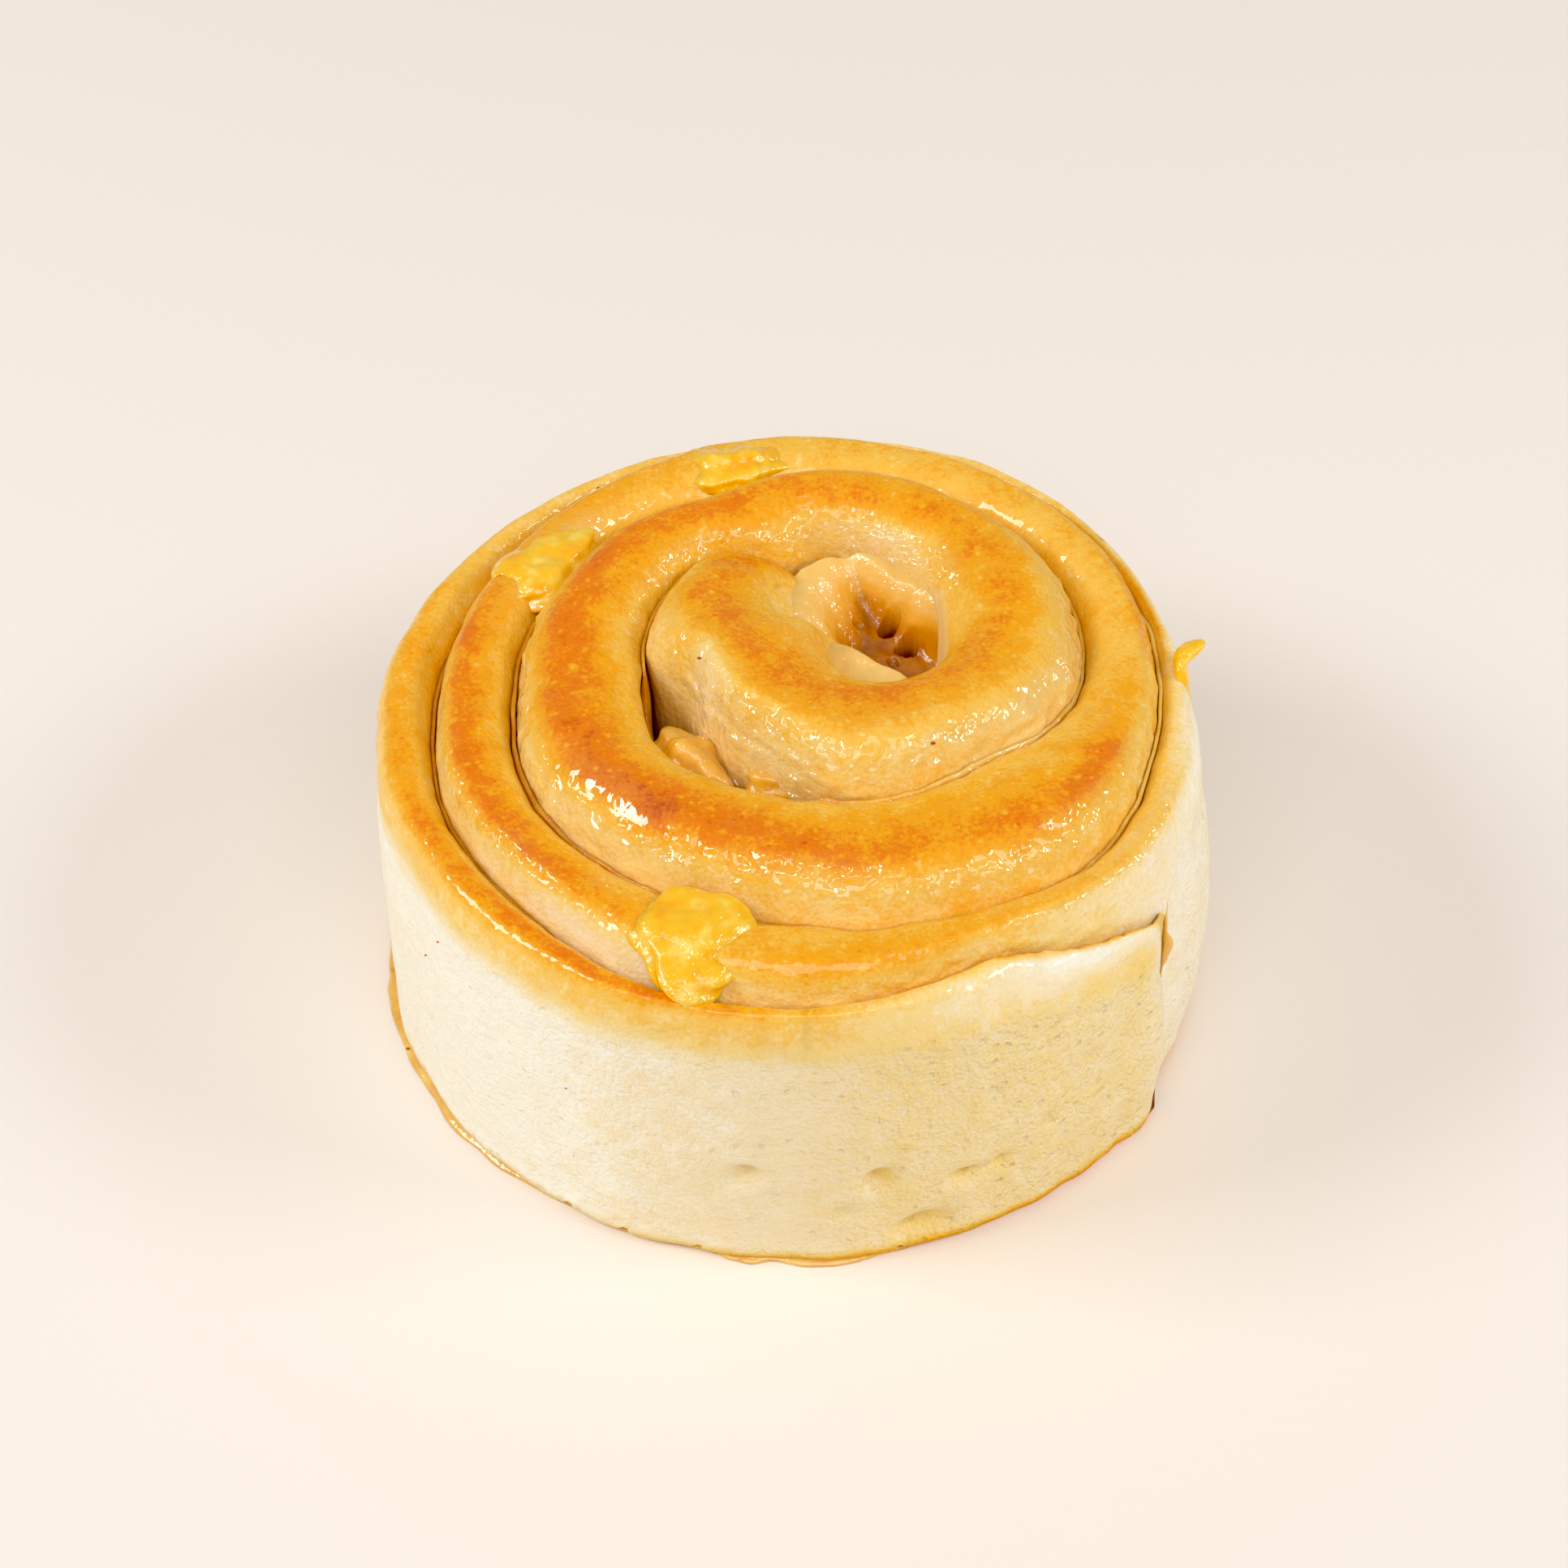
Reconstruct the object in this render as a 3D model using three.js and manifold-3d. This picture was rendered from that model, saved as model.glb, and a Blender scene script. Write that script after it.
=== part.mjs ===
// Apple pastry roll: one strip of sweet dough rolled into a spiral bun, with a thin layer of
// apple filling between its turns, filling in the eye of the spiral and apple pieces on top.
//
// Millimetres, +Z up. The bun lies on z = 0 and the origin is the middle of its base.
// The strip is described by the seam, the spiral line that two neighbouring turns share.
// An angle along the roll is in degrees, counted on through the turns, 0 towards +X.

import * as THREE from 'three';
import { mergeVertices } from 'three/addons/utils/BufferGeometryUtils.js';
import Module from 'manifold-3d';

// The middle of the finished bun, from the point that the seam is measured from
const MIDDLE_X = -0.3;
const MIDDLE_Y = -0.54;

// Where the seam crosses each side of the bun, turn by turn, outwards from the eye
const SEAM_BACK = [17.5, 21.5, 32.4, 42.0, 44.6];
const SEAM_LEFT = [3.0, 15.5, 29.5, 38.6, 44.8];
const SEAM_FRONT = [3.3, 18.3, 32.8, 42.6, 45.4];
const SEAM_RIGHT = [16.2, 31.0, 39.0, 43.4, 45.5];

// Local swellings and dips of the seam: angle along the roll, reach to each side, size
const SEAM_SWELLS = [
  { at: -135, reach: 26, size: -2.6 },
  { at: 128, reach: 12, size: -2.4 },
  { at: 226, reach: 18, size: 2.0 },
  { at: 302, reach: 24, size: -2.3 },
  { at: 478, reach: 14, size: -1.0 },
  { at: 572, reach: 20, size: 1.1 },
  { at: 677, reach: 20, size: 2.3 },
  { at: 950, reach: 18, size: -1.1 },
  { at: 1016, reach: 16, size: -1.8 },
  { at: 1050, reach: 14, size: 1.7 },
  { at: 1068, reach: 10, size: 0.5 },
  { at: 1102, reach: 24, size: -1.2 },
  { at: 1205, reach: 28, size: -0.9 },
];

// Where the top of a turn's outer wall is drawn in from the seam, which leaves a pocket
const DRAWN_IN = [
  { at: 228, reach: 32, size: 4.0 },
  { at: 562, reach: 24, size: 1.2 },
];

// The eye of the spiral lies behind and to the right of the middle of the base
const EYE_X = 7.5;
const EYE_Y = 10.0;
const CENTRED_FROM = 90;
const CENTRED_BY = 900;

// The strip, from its tip beside the eye to its loose end on the bun's side
const TURN = 360;
const STEP = 8;
const TIP = 96;
const LOOSE_END = 1408;
const SEAM_LAST = LOOSE_END - TURN;

// Crown heights of the turns, which sink from the eye to the rim
const CROWN_TOP = 46.3;
const CROWN_RIM = 37.8;
const CROWN_FROM = 270;
const CROWN_TO = 1260;
const FIRST_SINKS = 1.2;
const TIP_SINKS = 6.5;
const TIP_SINK_LONG = 40;
const BACK_SINKS = 1.0;
const BACK_AT = 1205;
const BACK_REACH = 34;
const END_SINKS = 6.0;
const END_SINK_LONG = 34;

// The crowns rise and fall a little along the roll: size, change per degree and start
const CROWN_WAVES = [
  { size: 0.35, rate: 0.031, start: 0.6 },
  { size: 0.25, rate: 0.083, start: 2.1 },
];

// The strip's cross-section: shares are of its width, and the turns run over its two shoulders
const APEX = 0.58;
const GROOVE_BELOW_CROWN = 3.4;
const EYE_LIP = 6.0;
const EYE_NARROWS = 2.5;
const EYE_NARROW_BY = 0.55;
const RIM_DROP = 5.0;
const CROWN_FULLNESS = 0.82;
const INNER_TURNS = [0, 22, 45, 68];
const OUTER_TURNS = [90, 65, 42, 20, 0];
const SIDE_HIGH = 0.74;
const SIDE_MIDDLE = 0.42;
const SIDE_LOW = 0.16;
const FOOT_ROUND = 1.2;
const FOOT_SHARE = 0.3;
const FOOT_TUCK = 0.4;
const THINNEST = 1.1;
const LEAST_RISE = 0.8;

// The strip's tip beside the eye
const TIP_ROUND = 28;
const TIP_THIN = 0.35;
const TIP_LOW = 0.93;

// On the right the rim falls away further, from a crown that lies nearer to the eye
const SLOPED_AT = 1086;
const SLOPED_REACH = 46;
const SLOPED_APEX = 0.26;
const SLOPED_DROP = 7.0;
const SLOPED_FULLNESS = 1.05;

// The bun's side: it swells at mid height, most on the right, above a thin sugar skirt
const SIDE_SWELL = 0.4;
const RIGHT_SWELL = 2.4;
const RIGHT_AT = 354;
const RIGHT_REACH = 26;
const SWELL_FULLNESS = 0.8;
const WRINKLE = 0.35;
const WRINKLE_RATE = 0.21;
const WRINKLE_AT = 334;
const WRINKLE_REACH = 45;
const SKIRT_OUT = 1.2;
const SKIRT_HIGH = 1.1;
const SKIRT_SPREAD = 0.3;

// Filling: the gap between the turns, the layer in it and the clearance to the dough
const GAP = 1.4;
const GAP_AT_END = 0.9;
const GAP_NARROWS = 90;
const CLEARANCE = 0.3;
const CUT_CLEARANCE = 0.4;
const LAYER_FOOT = 1.2;
const LAYER_BELOW_GROOVE = 1.0;
const LAYER_WAVE = 0.4;
const LAYER_WAVE_RATE = 0.19;
const LAYER_FROM = TIP + 3 * STEP;
const EYE_FILL_FOOT = 0.9;
const EYE_FILL_TOP = 32.6;
const EYE_FILL_X = 12;
const EYE_FILL_Y = 15;
const EYE_FILL_RISE = 3.4;
const EYE_FILL_LUMPS = 0.7;
const EYE_FILL_FLAT = 1.5;
const EYE_FILL_DETAIL = 6;
const SKIN_WAVE = 0.06;

// Apple pieces on the crowns, and in the pocket beside the strip's first turn
const APPLE_PIECES = [
  { name: 'front', at: [-10.0, -35.6, 38.9], size: [6.6, 6.0, 2.7], turned: -90, tipped: 14 },
  { name: 'back_left', at: [-27.0, 19.2, 39.3], size: [7.6, 4.0, 2.7], turned: 58, tipped: 0 },
  { name: 'back', at: [-6.6, 34.6, 40.7], size: [5.8, 4.0, 2.2], turned: 12, tipped: 0 },
  { name: 'pocket_left', at: [-11.8, -7.4, 34.6], size: [4.8, 3.0, 3.6], turned: -58, tipped: 0 },
  { name: 'pocket_front', at: [-2.2, -13.4, 36.0], size: [4.4, 2.6, 3.0], turned: -20, tipped: 0 },
];
const PIECE_CORNERS = 3;
const PIECE_CORNER = 0.12;
const PIECE_DETAIL = 4;

// A shred that lies on the right of the rim and sticks out over it
const SHRED_ROUTE = [[42.2, 0.2, 35.6], [41.4, 2.2, 38.6], [41.4, 3.8, 40.6], [43.8, 5.0, 41.8]];
const SHRED_HALF_WIDTH = 1.5;
const SHRED_HALF_THICKNESS = 0.8;
const SHRED_DETAIL = 3;

const DEGREE = Math.PI / 180;

const wasm = await Module();
wasm.setup();

const clamp = THREE.MathUtils.clamp;
const lerp = THREE.MathUtils.lerp;
const smoothstep = THREE.MathUtils.smoothstep;

function hump(value, at, reach) {
  const away = (value - at) / reach;
  return Math.exp(-away * away);
}

// The seam

function outward(angle) {
  return new THREE.Vector2(Math.cos(angle * DEGREE), Math.sin(angle * DEGREE));
}

function turnCentre(angle) {
  const left = 1 - clamp((angle - CENTRED_FROM) / (CENTRED_BY - CENTRED_FROM), 0, 1);
  return new THREE.Vector2(EYE_X * left, EYE_Y * left);
}

// One reach from the turn's centre for each quarter turn, from the back of the eye outwards
const QUARTER = 90;
const FIRST_QUARTER = -270;
const quarterReach = [];
for (let turn = 0; turn < SEAM_BACK.length; turn += 1) {
  const crossings = [
    [0, SEAM_BACK[turn]],
    [-SEAM_LEFT[turn], 0],
    [0, -SEAM_FRONT[turn]],
    [SEAM_RIGHT[turn], 0],
  ];
  crossings.forEach((crossing, side) => {
    const angle = FIRST_QUARTER + TURN * turn + QUARTER * side;
    const along = outward(angle);
    const reach = new THREE.Vector2(...crossing).sub(turnCentre(angle)).dot(along);
    quarterReach.push(new THREE.Vector2(angle, reach));
  });
}
const reachCurve = new THREE.SplineCurve(quarterReach);
const REACH_SPAN = QUARTER * (quarterReach.length - 1);

function seamReach(angle) {
  const smooth = reachCurve.getPoint(clamp((angle - FIRST_QUARTER) / REACH_SPAN, 0, 1)).y;
  return SEAM_SWELLS.reduce((sum, swell) => sum + swell.size * hump(angle, swell.at, swell.reach), smooth);
}

function seamPoint(angle, shift) {
  return turnCentre(angle).addScaledVector(outward(angle), seamReach(angle) + shift);
}

// How far past the loose end's seam this angle is, from 0, under a turn, to 1, on the bun's side
function loosed(angle) {
  return smoothstep(angle, SEAM_LAST, SEAM_LAST + 2 * STEP);
}

// How much of the seam at this angle lies between two turns, from 0 to 1
function covered(angle) {
  return smoothstep(angle, TIP - STEP, TIP + STEP) * (1 - loosed(angle));
}

// Half the gap between the turns, which narrows towards the seam on the bun's side
function halfGap(angle) {
  return covered(angle) * lerp(GAP, GAP_AT_END, smoothstep(angle, SEAM_LAST - GAP_NARROWS, SEAM_LAST)) / 2;
}

// Heights along the strip

function crownWave(angle) {
  return CROWN_WAVES.reduce((sum, wave) => sum + wave.size * Math.sin(angle * wave.rate + wave.start), 0);
}

function crownHeight(angle) {
  const fall = clamp((angle - CROWN_FROM) / (CROWN_TO - CROWN_FROM), 0, 1);
  const sinks = FIRST_SINKS * clamp((CROWN_FROM - angle) / (CROWN_FROM - TIP), 0, 1) ** 2
    + TIP_SINKS * (1 - smoothstep(angle, TIP, TIP + TIP_SINK_LONG))
    + BACK_SINKS * hump(angle, BACK_AT, BACK_REACH)
    + END_SINKS * smoothstep(angle, LOOSE_END - END_SINK_LONG, LOOSE_END);
  return lerp(CROWN_TOP, CROWN_RIM, fall) - sinks + crownWave(angle);
}

// The height at which the two walls of the seam part, below both crowns beside it
function grooveHeight(angle) {
  if (angle < TIP) return crownHeight(angle + TURN) - EYE_LIP;
  const between = crownHeight(angle + TURN) - GROOVE_BELOW_CROWN;
  const rim = crownHeight(angle) - RIM_DROP - SLOPED_DROP * hump(angle, SLOPED_AT, SLOPED_REACH);
  return lerp(between, rim, loosed(angle));
}

// Sections and the bodies swept through them

// A section stands upright: it runs out from a spot on the plan, and its outline holds
// pairs of distance out and height
function section(spot, across, outline) {
  return { spot, across, outline };
}

// An outline moved outwards by the same distance all round, for a clearance
function grownOutline(outline, by) {
  const count = outline.length;
  return outline.map((point, index) => {
    const before = outline[(index + count - 1) % count];
    const after = outline[(index + 1) % count];
    const along = after.clone().sub(before).normalize();
    return new THREE.Vector2(point.x - along.y * by, point.y + along.x * by);
  });
}

function placedPoint(one, point, shift) {
  return new THREE.Vector3(
    one.spot.x + one.across.x * point.x + shift.x,
    one.spot.y + one.across.y * point.x + shift.y,
    point.y,
  );
}

// A closed body swept through sections, grown all round, with a middle point at each end
function sweptBody(sections, grow) {
  const sides = sections[0].outline.length;
  const rows = sections.length + 1;
  const geometry = new THREE.SphereGeometry(1, sides, rows);
  const place = geometry.getAttribute('position');
  const last = sections.length - 1;
  const startWay = sections[0].spot.clone().sub(sections[1].spot).normalize();
  const endWay = sections[last].spot.clone().sub(sections[last - 1].spot).normalize();
  for (let row = 0; row <= rows; row += 1) {
    const index = clamp(row - 1, 0, last);
    const one = sections[index];
    const outline = grownOutline(one.outline, grow);
    const shift = new THREE.Vector2();
    if (index === 0) shift.addScaledVector(startWay, grow);
    if (index === last) shift.addScaledVector(endWay, grow);
    const middle = new THREE.Vector2();
    outline.forEach((point) => middle.addScaledVector(point, 1 / sides));
    const end = row === 0 || row === rows;
    for (let side = 0; side <= sides; side += 1) {
      const point = placedPoint(one, end ? middle : outline[(sides - side) % sides], shift);
      place.setXYZ(row * (sides + 1) + side, point.x, point.y, point.z);
    }
  }
  return geometry;
}

// Solid forms for joining and cutting

function solid(geometry) {
  const bare = geometry.clone();
  bare.deleteAttribute('normal');
  bare.deleteAttribute('uv');
  const merged = mergeVertices(bare, 1e-4);
  return new wasm.Manifold(new wasm.Mesh({
    numProp: 3,
    vertProperties: new Float32Array(merged.getAttribute('position').array),
    triVerts: new Uint32Array(merged.getIndex().array),
  }));
}

function geometryOf(body) {
  const mesh = body.getMesh();
  const geometry = new THREE.BufferGeometry();
  geometry.setAttribute('position', new THREE.BufferAttribute(mesh.vertProperties, 3));
  geometry.setIndex(new THREE.BufferAttribute(mesh.triVerts, 1));
  geometry.computeVertexNormals();
  return geometry;
}

function largestPiece(body) {
  return body.decompose().reduce((best, piece) => (piece.volume() > best.volume() ? piece : best));
}

// Dough

// How far the side stands out at this height, as a share of the swell
function sideShape(share) {
  return Math.sin(Math.PI * share) ** SWELL_FULLNESS;
}

// The angle from a bearing to the nearest copy of an angle along the roll
function turnedFrom(angle, bearing) {
  return THREE.MathUtils.euclideanModulo(angle - bearing + TURN / 2, TURN) - TURN / 2;
}

function sideSwell(angle) {
  const right = RIGHT_SWELL * hump(turnedFrom(angle, RIGHT_AT), 0, RIGHT_REACH);
  const wrinkled = WRINKLE * hump(turnedFrom(angle, WRINKLE_AT), 0, WRINKLE_REACH);
  return loosed(angle) * (SIDE_SWELL + right + wrinkled * Math.sin(angle * WRINKLE_RATE));
}

function drawnIn(angle) {
  return DRAWN_IN.reduce((sum, pocket) => sum + pocket.size * hump(angle, pocket.at, pocket.reach), 0);
}

// One section of the strip, from its inner foot over the crown to its outer foot
function doughSection(angle) {
  const inSeam = angle - TURN;
  const inner = seamPoint(inSeam, halfGap(inSeam));
  const across = seamPoint(angle, -halfGap(angle)).sub(inner);
  const span = Math.max(across.length(), THINNEST);
  across.normalize();
  const crown = crownHeight(angle);
  const innerTop = Math.min(grooveHeight(inSeam), crown - LEAST_RISE);
  const outerTop = Math.min(grooveHeight(angle), crown - LEAST_RISE);
  const sloped = hump(angle, SLOPED_AT, SLOPED_REACH);
  const apex = span * lerp(APEX, SLOPED_APEX, sloped);
  const fullness = lerp(CROWN_FULLNESS, SLOPED_FULLNESS, sloped);
  const narrowed = -EYE_NARROWS * (1 - covered(inSeam));
  const shoulder = span - drawnIn(angle);
  const swell = sideSwell(angle);
  const foot = Math.min(FOOT_ROUND, span * FOOT_SHARE);
  const skirt = SKIRT_OUT * loosed(angle);
  const outline = [];
  const add = (out, height) => outline.push(new THREE.Vector2(out, height));
  add(narrowed + foot, 0);
  add(narrowed, foot);
  add(narrowed, innerTop * EYE_NARROW_BY);
  for (const turn of INNER_TURNS) {
    const rise = Math.sin(turn * DEGREE) ** CROWN_FULLNESS;
    const run = 1 - Math.cos(turn * DEGREE) ** CROWN_FULLNESS;
    add(apex * run, lerp(innerTop, crown, rise));
  }
  for (const turn of OUTER_TURNS) {
    const rise = Math.sin(turn * DEGREE) ** fullness;
    const run = Math.cos(turn * DEGREE) ** fullness;
    add(lerp(apex, shoulder, run), lerp(outerTop, crown, rise));
  }
  add((shoulder + span) / 2 + swell * sideShape(SIDE_HIGH), outerTop * SIDE_HIGH);
  add(span + swell * sideShape(SIDE_MIDDLE), outerTop * SIDE_MIDDLE);
  add(span + skirt * SKIRT_SPREAD + swell * sideShape(SIDE_LOW), outerTop * SIDE_LOW);
  add(span + skirt, Math.max(SKIRT_HIGH, foot));
  add(span + skirt - foot * FOOT_TUCK, 0);
  return section(inner, across, drawnToMiddle(outline, tipShare(angle)));
}

// The strip's tip beside the eye is drawn in to a rounded end
function tipShare(angle) {
  const along = clamp((angle - TIP) / TIP_ROUND, 0, 1);
  return lerp(TIP_THIN, 1, Math.sqrt(1 - (1 - along) ** 2));
}

function drawnToMiddle(outline, share) {
  const middle = outline.reduce((sum, point) => sum + point.x, 0) / outline.length;
  return outline.map((point) => new THREE.Vector2(
    lerp(middle, point.x, share),
    point.y * lerp(TIP_LOW, 1, share),
  ));
}

function doughRoll(grow) {
  const sections = [];
  for (let angle = TIP; angle <= LOOSE_END; angle += STEP) sections.push(doughSection(angle));
  return sweptBody(sections, grow);
}

// Filling

// The thin layer between the turns, from the strip's tip to the seam on the bun's side
function fillingLayer(grow) {
  const sections = [];
  for (let angle = LAYER_FROM; angle <= SEAM_LAST; angle += STEP) {
    const top = grooveHeight(angle) - LAYER_BELOW_GROOVE + LAYER_WAVE * Math.sin(angle * LAYER_WAVE_RATE);
    const half = halfGap(angle) - CLEARANCE;
    const heights = [LAYER_FOOT, top / 2, top];
    const inside = heights.map((height) => new THREE.Vector2(-half, height));
    const outside = heights.map((height) => new THREE.Vector2(half, height));
    sections.push(section(seamPoint(angle, 0), outward(angle), [...inside, ...outside.reverse()]));
  }
  return sweptBody(sections, grow);
}

// How uneven the skin of a piece is at a spot on a ball of radius 1
function unevenSkin(point, at) {
  return 1 + SKIN_WAVE * (Math.sin(7 * point.x + at[0]) + Math.sin(6 * point.y + 5 * point.z + at[1]));
}

// A ball whose surface is moved by a function of the spot on a ball of radius 1
function shapedBall(detail, shape) {
  const geometry = new THREE.IcosahedronGeometry(1, detail);
  const place = geometry.getAttribute('position');
  const point = new THREE.Vector3();
  for (let index = 0; index < place.count; index += 1) {
    const moved = shape(point.fromBufferAttribute(place, index));
    place.setXYZ(index, moved.x, moved.y, moved.z);
  }
  return geometry;
}

// A soft piece of apple: a flat round body whose outline has corners and whose skin is uneven.
// size is its half length, half width and half height; it is turned about Z, then tipped about X.
function applePiece({ at, size, turned, tipped }) {
  const geometry = shapedBall(PIECE_DETAIL, (point) => {
    const bearing = Math.atan2(point.y, point.x);
    const reach = 1 + PIECE_CORNER * Math.hypot(point.x, point.y) * Math.cos(PIECE_CORNERS * bearing);
    const scale = new THREE.Vector3(...size).multiplyScalar(unevenSkin(point, at));
    return point.clone().multiply(scale).multiply(new THREE.Vector3(reach, reach, 1));
  });
  geometry.rotateZ(turned * DEGREE);
  geometry.rotateX(tipped * DEGREE);
  geometry.translate(...at);
  return geometry;
}

// A shred of apple that follows a route and tapers to both ends
function appleShred() {
  const curve = new THREE.CatmullRomCurve3(SHRED_ROUTE.map((spot) => new THREE.Vector3(...spot)));
  return shapedBall(SHRED_DETAIL, (point) => {
    const share = (point.x + 1) / 2;
    const along = curve.getTangentAt(share);
    const side = new THREE.Vector3(0, 1, 0).cross(along).normalize();
    const width = side.clone().cross(along);
    return curve.getPointAt(share)
      .addScaledVector(width, point.y * SHRED_HALF_WIDTH)
      .addScaledVector(side, point.z * SHRED_HALF_THICKNESS);
  });
}

// The filling in the eye, from the bun's base up to an uneven top that rises to the back
function eyeFilling() {
  const middle = (EYE_FILL_FOOT + EYE_FILL_TOP) / 2;
  const half = EYE_FILL_TOP - middle;
  return shapedBall(EYE_FILL_DETAIL, (point) => {
    const height = Math.sign(point.z) * Math.min(1, Math.abs(point.z) * EYE_FILL_FLAT);
    const rise = EYE_FILL_RISE * point.y + EYE_FILL_LUMPS * Math.sin(8 * point.x) * Math.cos(7 * point.y);
    return new THREE.Vector3(
      EYE_X + point.x * EYE_FILL_X,
      EYE_Y + point.y * EYE_FILL_Y,
      middle + half * height + rise * Math.max(height, 0),
    );
  });
}

const group = new THREE.Group();
group.position.set(-MIDDLE_X, -MIDDLE_Y, 0);

function addPiece(name, geometry, color, roughness) {
  const material = new THREE.MeshStandardMaterial({ color, roughness, metalness: 0 });
  const mesh = new THREE.Mesh(geometry, material);
  mesh.name = name;
  group.add(mesh);
}

const clearOf = solid(doughRoll(CUT_CLEARANCE)).add(solid(fillingLayer(CUT_CLEARANCE)));

// What is left of a piece once the dough and the layer, with their clearance, are cut out of it
function fitted(geometry) {
  return geometryOf(largestPiece(solid(geometry).subtract(clearOf)));
}

addPiece('dough_roll', doughRoll(0), '#d9a860', 0.5);
addPiece('apple_filling_layer', fillingLayer(0), '#d9922e', 0.35);
addPiece('apple_filling_eye', fitted(eyeFilling()), '#d8a23c', 0.3);
for (const piece of APPLE_PIECES) {
  addPiece(`apple_piece_${piece.name}`, fitted(applePiece(piece)), '#f2b722', 0.3);
}
addPiece('apple_shred_right', fitted(appleShred()), '#f0a818', 0.3);

export default group;
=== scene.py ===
"""Apple pastry roll: a glazed bun rolled from one strip of yeast dough, with apple filling.

Lengths are millimetres until a mesh is finished, which turns them to metres. The bun lies on
z = 0 and the origin is the middle of its base. An angle along the roll is in degrees, counted
on through the turns. The seam is the spiral line that two neighbouring turns share.
"""

import math

import bmesh
import bpy
import numpy as np
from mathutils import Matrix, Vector, noise


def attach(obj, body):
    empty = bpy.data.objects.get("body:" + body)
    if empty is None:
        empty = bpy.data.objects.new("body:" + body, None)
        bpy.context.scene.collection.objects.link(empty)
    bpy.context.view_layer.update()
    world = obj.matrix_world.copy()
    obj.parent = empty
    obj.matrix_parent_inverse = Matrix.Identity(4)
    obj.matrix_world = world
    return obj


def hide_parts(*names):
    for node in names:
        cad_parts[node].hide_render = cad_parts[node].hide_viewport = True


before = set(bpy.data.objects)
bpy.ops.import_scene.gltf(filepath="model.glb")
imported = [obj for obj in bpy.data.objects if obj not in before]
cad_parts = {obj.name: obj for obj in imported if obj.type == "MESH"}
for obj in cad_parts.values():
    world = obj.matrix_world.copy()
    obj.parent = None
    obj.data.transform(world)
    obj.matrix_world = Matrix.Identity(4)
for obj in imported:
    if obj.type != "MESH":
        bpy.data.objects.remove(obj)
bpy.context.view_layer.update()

MM = 0.001
MIDDLE = np.array([-0.3, -0.54])

# The roll, as the solids have it
SEAM_BACK = [17.5, 21.5, 32.4, 42.0, 44.6]
SEAM_LEFT = [3.0, 15.5, 29.5, 38.6, 44.8]
SEAM_FRONT = [3.3, 18.3, 32.8, 42.6, 45.4]
SEAM_RIGHT = [16.2, 31.0, 39.0, 43.4, 45.5]
SEAM_SWELLS = [
    (-135, 26, -2.6), (128, 12, -2.4), (226, 18, 2.0), (302, 24, -2.3), (478, 14, -1.0),
    (572, 20, 1.1), (677, 20, 2.3), (950, 18, -1.1), (1016, 16, -1.8), (1050, 14, 1.7),
    (1068, 10, 0.5), (1102, 24, -1.2), (1205, 28, -0.9),
]
EYE = np.array([7.5, 10.0])
CENTRED_FROM, CENTRED_BY = 90, 900
TURN = 360
TIP = 96
LOOSE_END = 1408
SEAM_LAST = LOOSE_END - TURN
FIRST_QUARTER = -270
CROWN_TOP, CROWN_RIM = 46.3, 37.8
CROWN_FROM, CROWN_TO = 270, 1260
FIRST_SINKS = 1.2
TIP_SINKS, TIP_SINK_LONG, TIP_SINK_EASE = 17.0, 90, 2.2
BACK_SINKS, BACK_AT, BACK_REACH = 1.0, 1205, 34
END_SINKS, END_SINK_LONG = 6.0, 34
CORNER_SINKS, CORNER_LONG = 1.8, 8
APEX = 0.58
GROOVE_BELOW_CROWN, END_GROOVE = 3.4, 0.9
CREASE_AT, CREASE_REACH, CREASE_RISE = 726, 46, 2.3
EYE_LIP = 6.0
EYE_NARROWS = 2.5
TONGUE_LIP = 2.6
TONGUE_LEANS = 5.0
TONGUE_SLOPE = 9.5
LIP_INWARD, LIP_AT, LIP_REACH = 2.8, 236, 34
DRAWN_IN, DRAWN_AT, DRAWN_REACH = 5.4, 224, 30
VALLEY = 26
RIM_DROP, END_DROP = 5.0, 3.5
END_APEX, END_ROUND, END_THIN = 0.15, 7.0, 1.8
SLOPED_AT, SLOPED_REACH, SLOPED_APEX, SLOPED_DROP = 1086, 46, 0.42, 5.0
CROWN_FULLNESS, SLOPED_FULLNESS = 0.9, 0.95
THINNEST = 1.1
LEAST_RISE = 0.8
TIP_ROUND, TIP_THIN, TIP_LOW = 28, 0.35, 0.93
SIDE_SWELL, RIGHT_SWELL, RIGHT_AT, RIGHT_REACH = 0.4, 2.4, 354, 26
GAP, GAP_AT_END, GAP_NARROWS = 1.4, 0.9, 90
LINE_HALF = 0.13
SIDE_REACH = 45


def column(values):
    return values[:, None]


def hump(value, at, reach):
    return np.exp(-(((value - at) / reach) ** 2))


def smooth(value, low, high):
    share = np.clip((value - low) / (high - low), 0, 1)
    return share * share * (3 - 2 * share)


def mix(one, other, share):
    return one + (other - one) * share


def turned_points(place, turned, axes=(0, 1)):
    """Points turned about an axis by so many degrees; axes names the two that change."""
    c, s = math.cos(math.radians(turned)), math.sin(math.radians(turned))
    one, other = axes
    moved = place.copy()
    moved[:, one] = c * place[:, one] - s * place[:, other]
    moved[:, other] = s * place[:, one] + c * place[:, other]
    return moved


def keyed(value, pairs):
    """A value read off a list of (place, value), eased from one pair to the next."""
    places, values = (np.array(column, float) for column in zip(*pairs))
    index = np.clip(np.searchsorted(places, value) - 1, 0, len(places) - 2)
    share = smooth(value, places[index], places[index + 1])
    return mix(values[index], values[index + 1], share)


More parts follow.
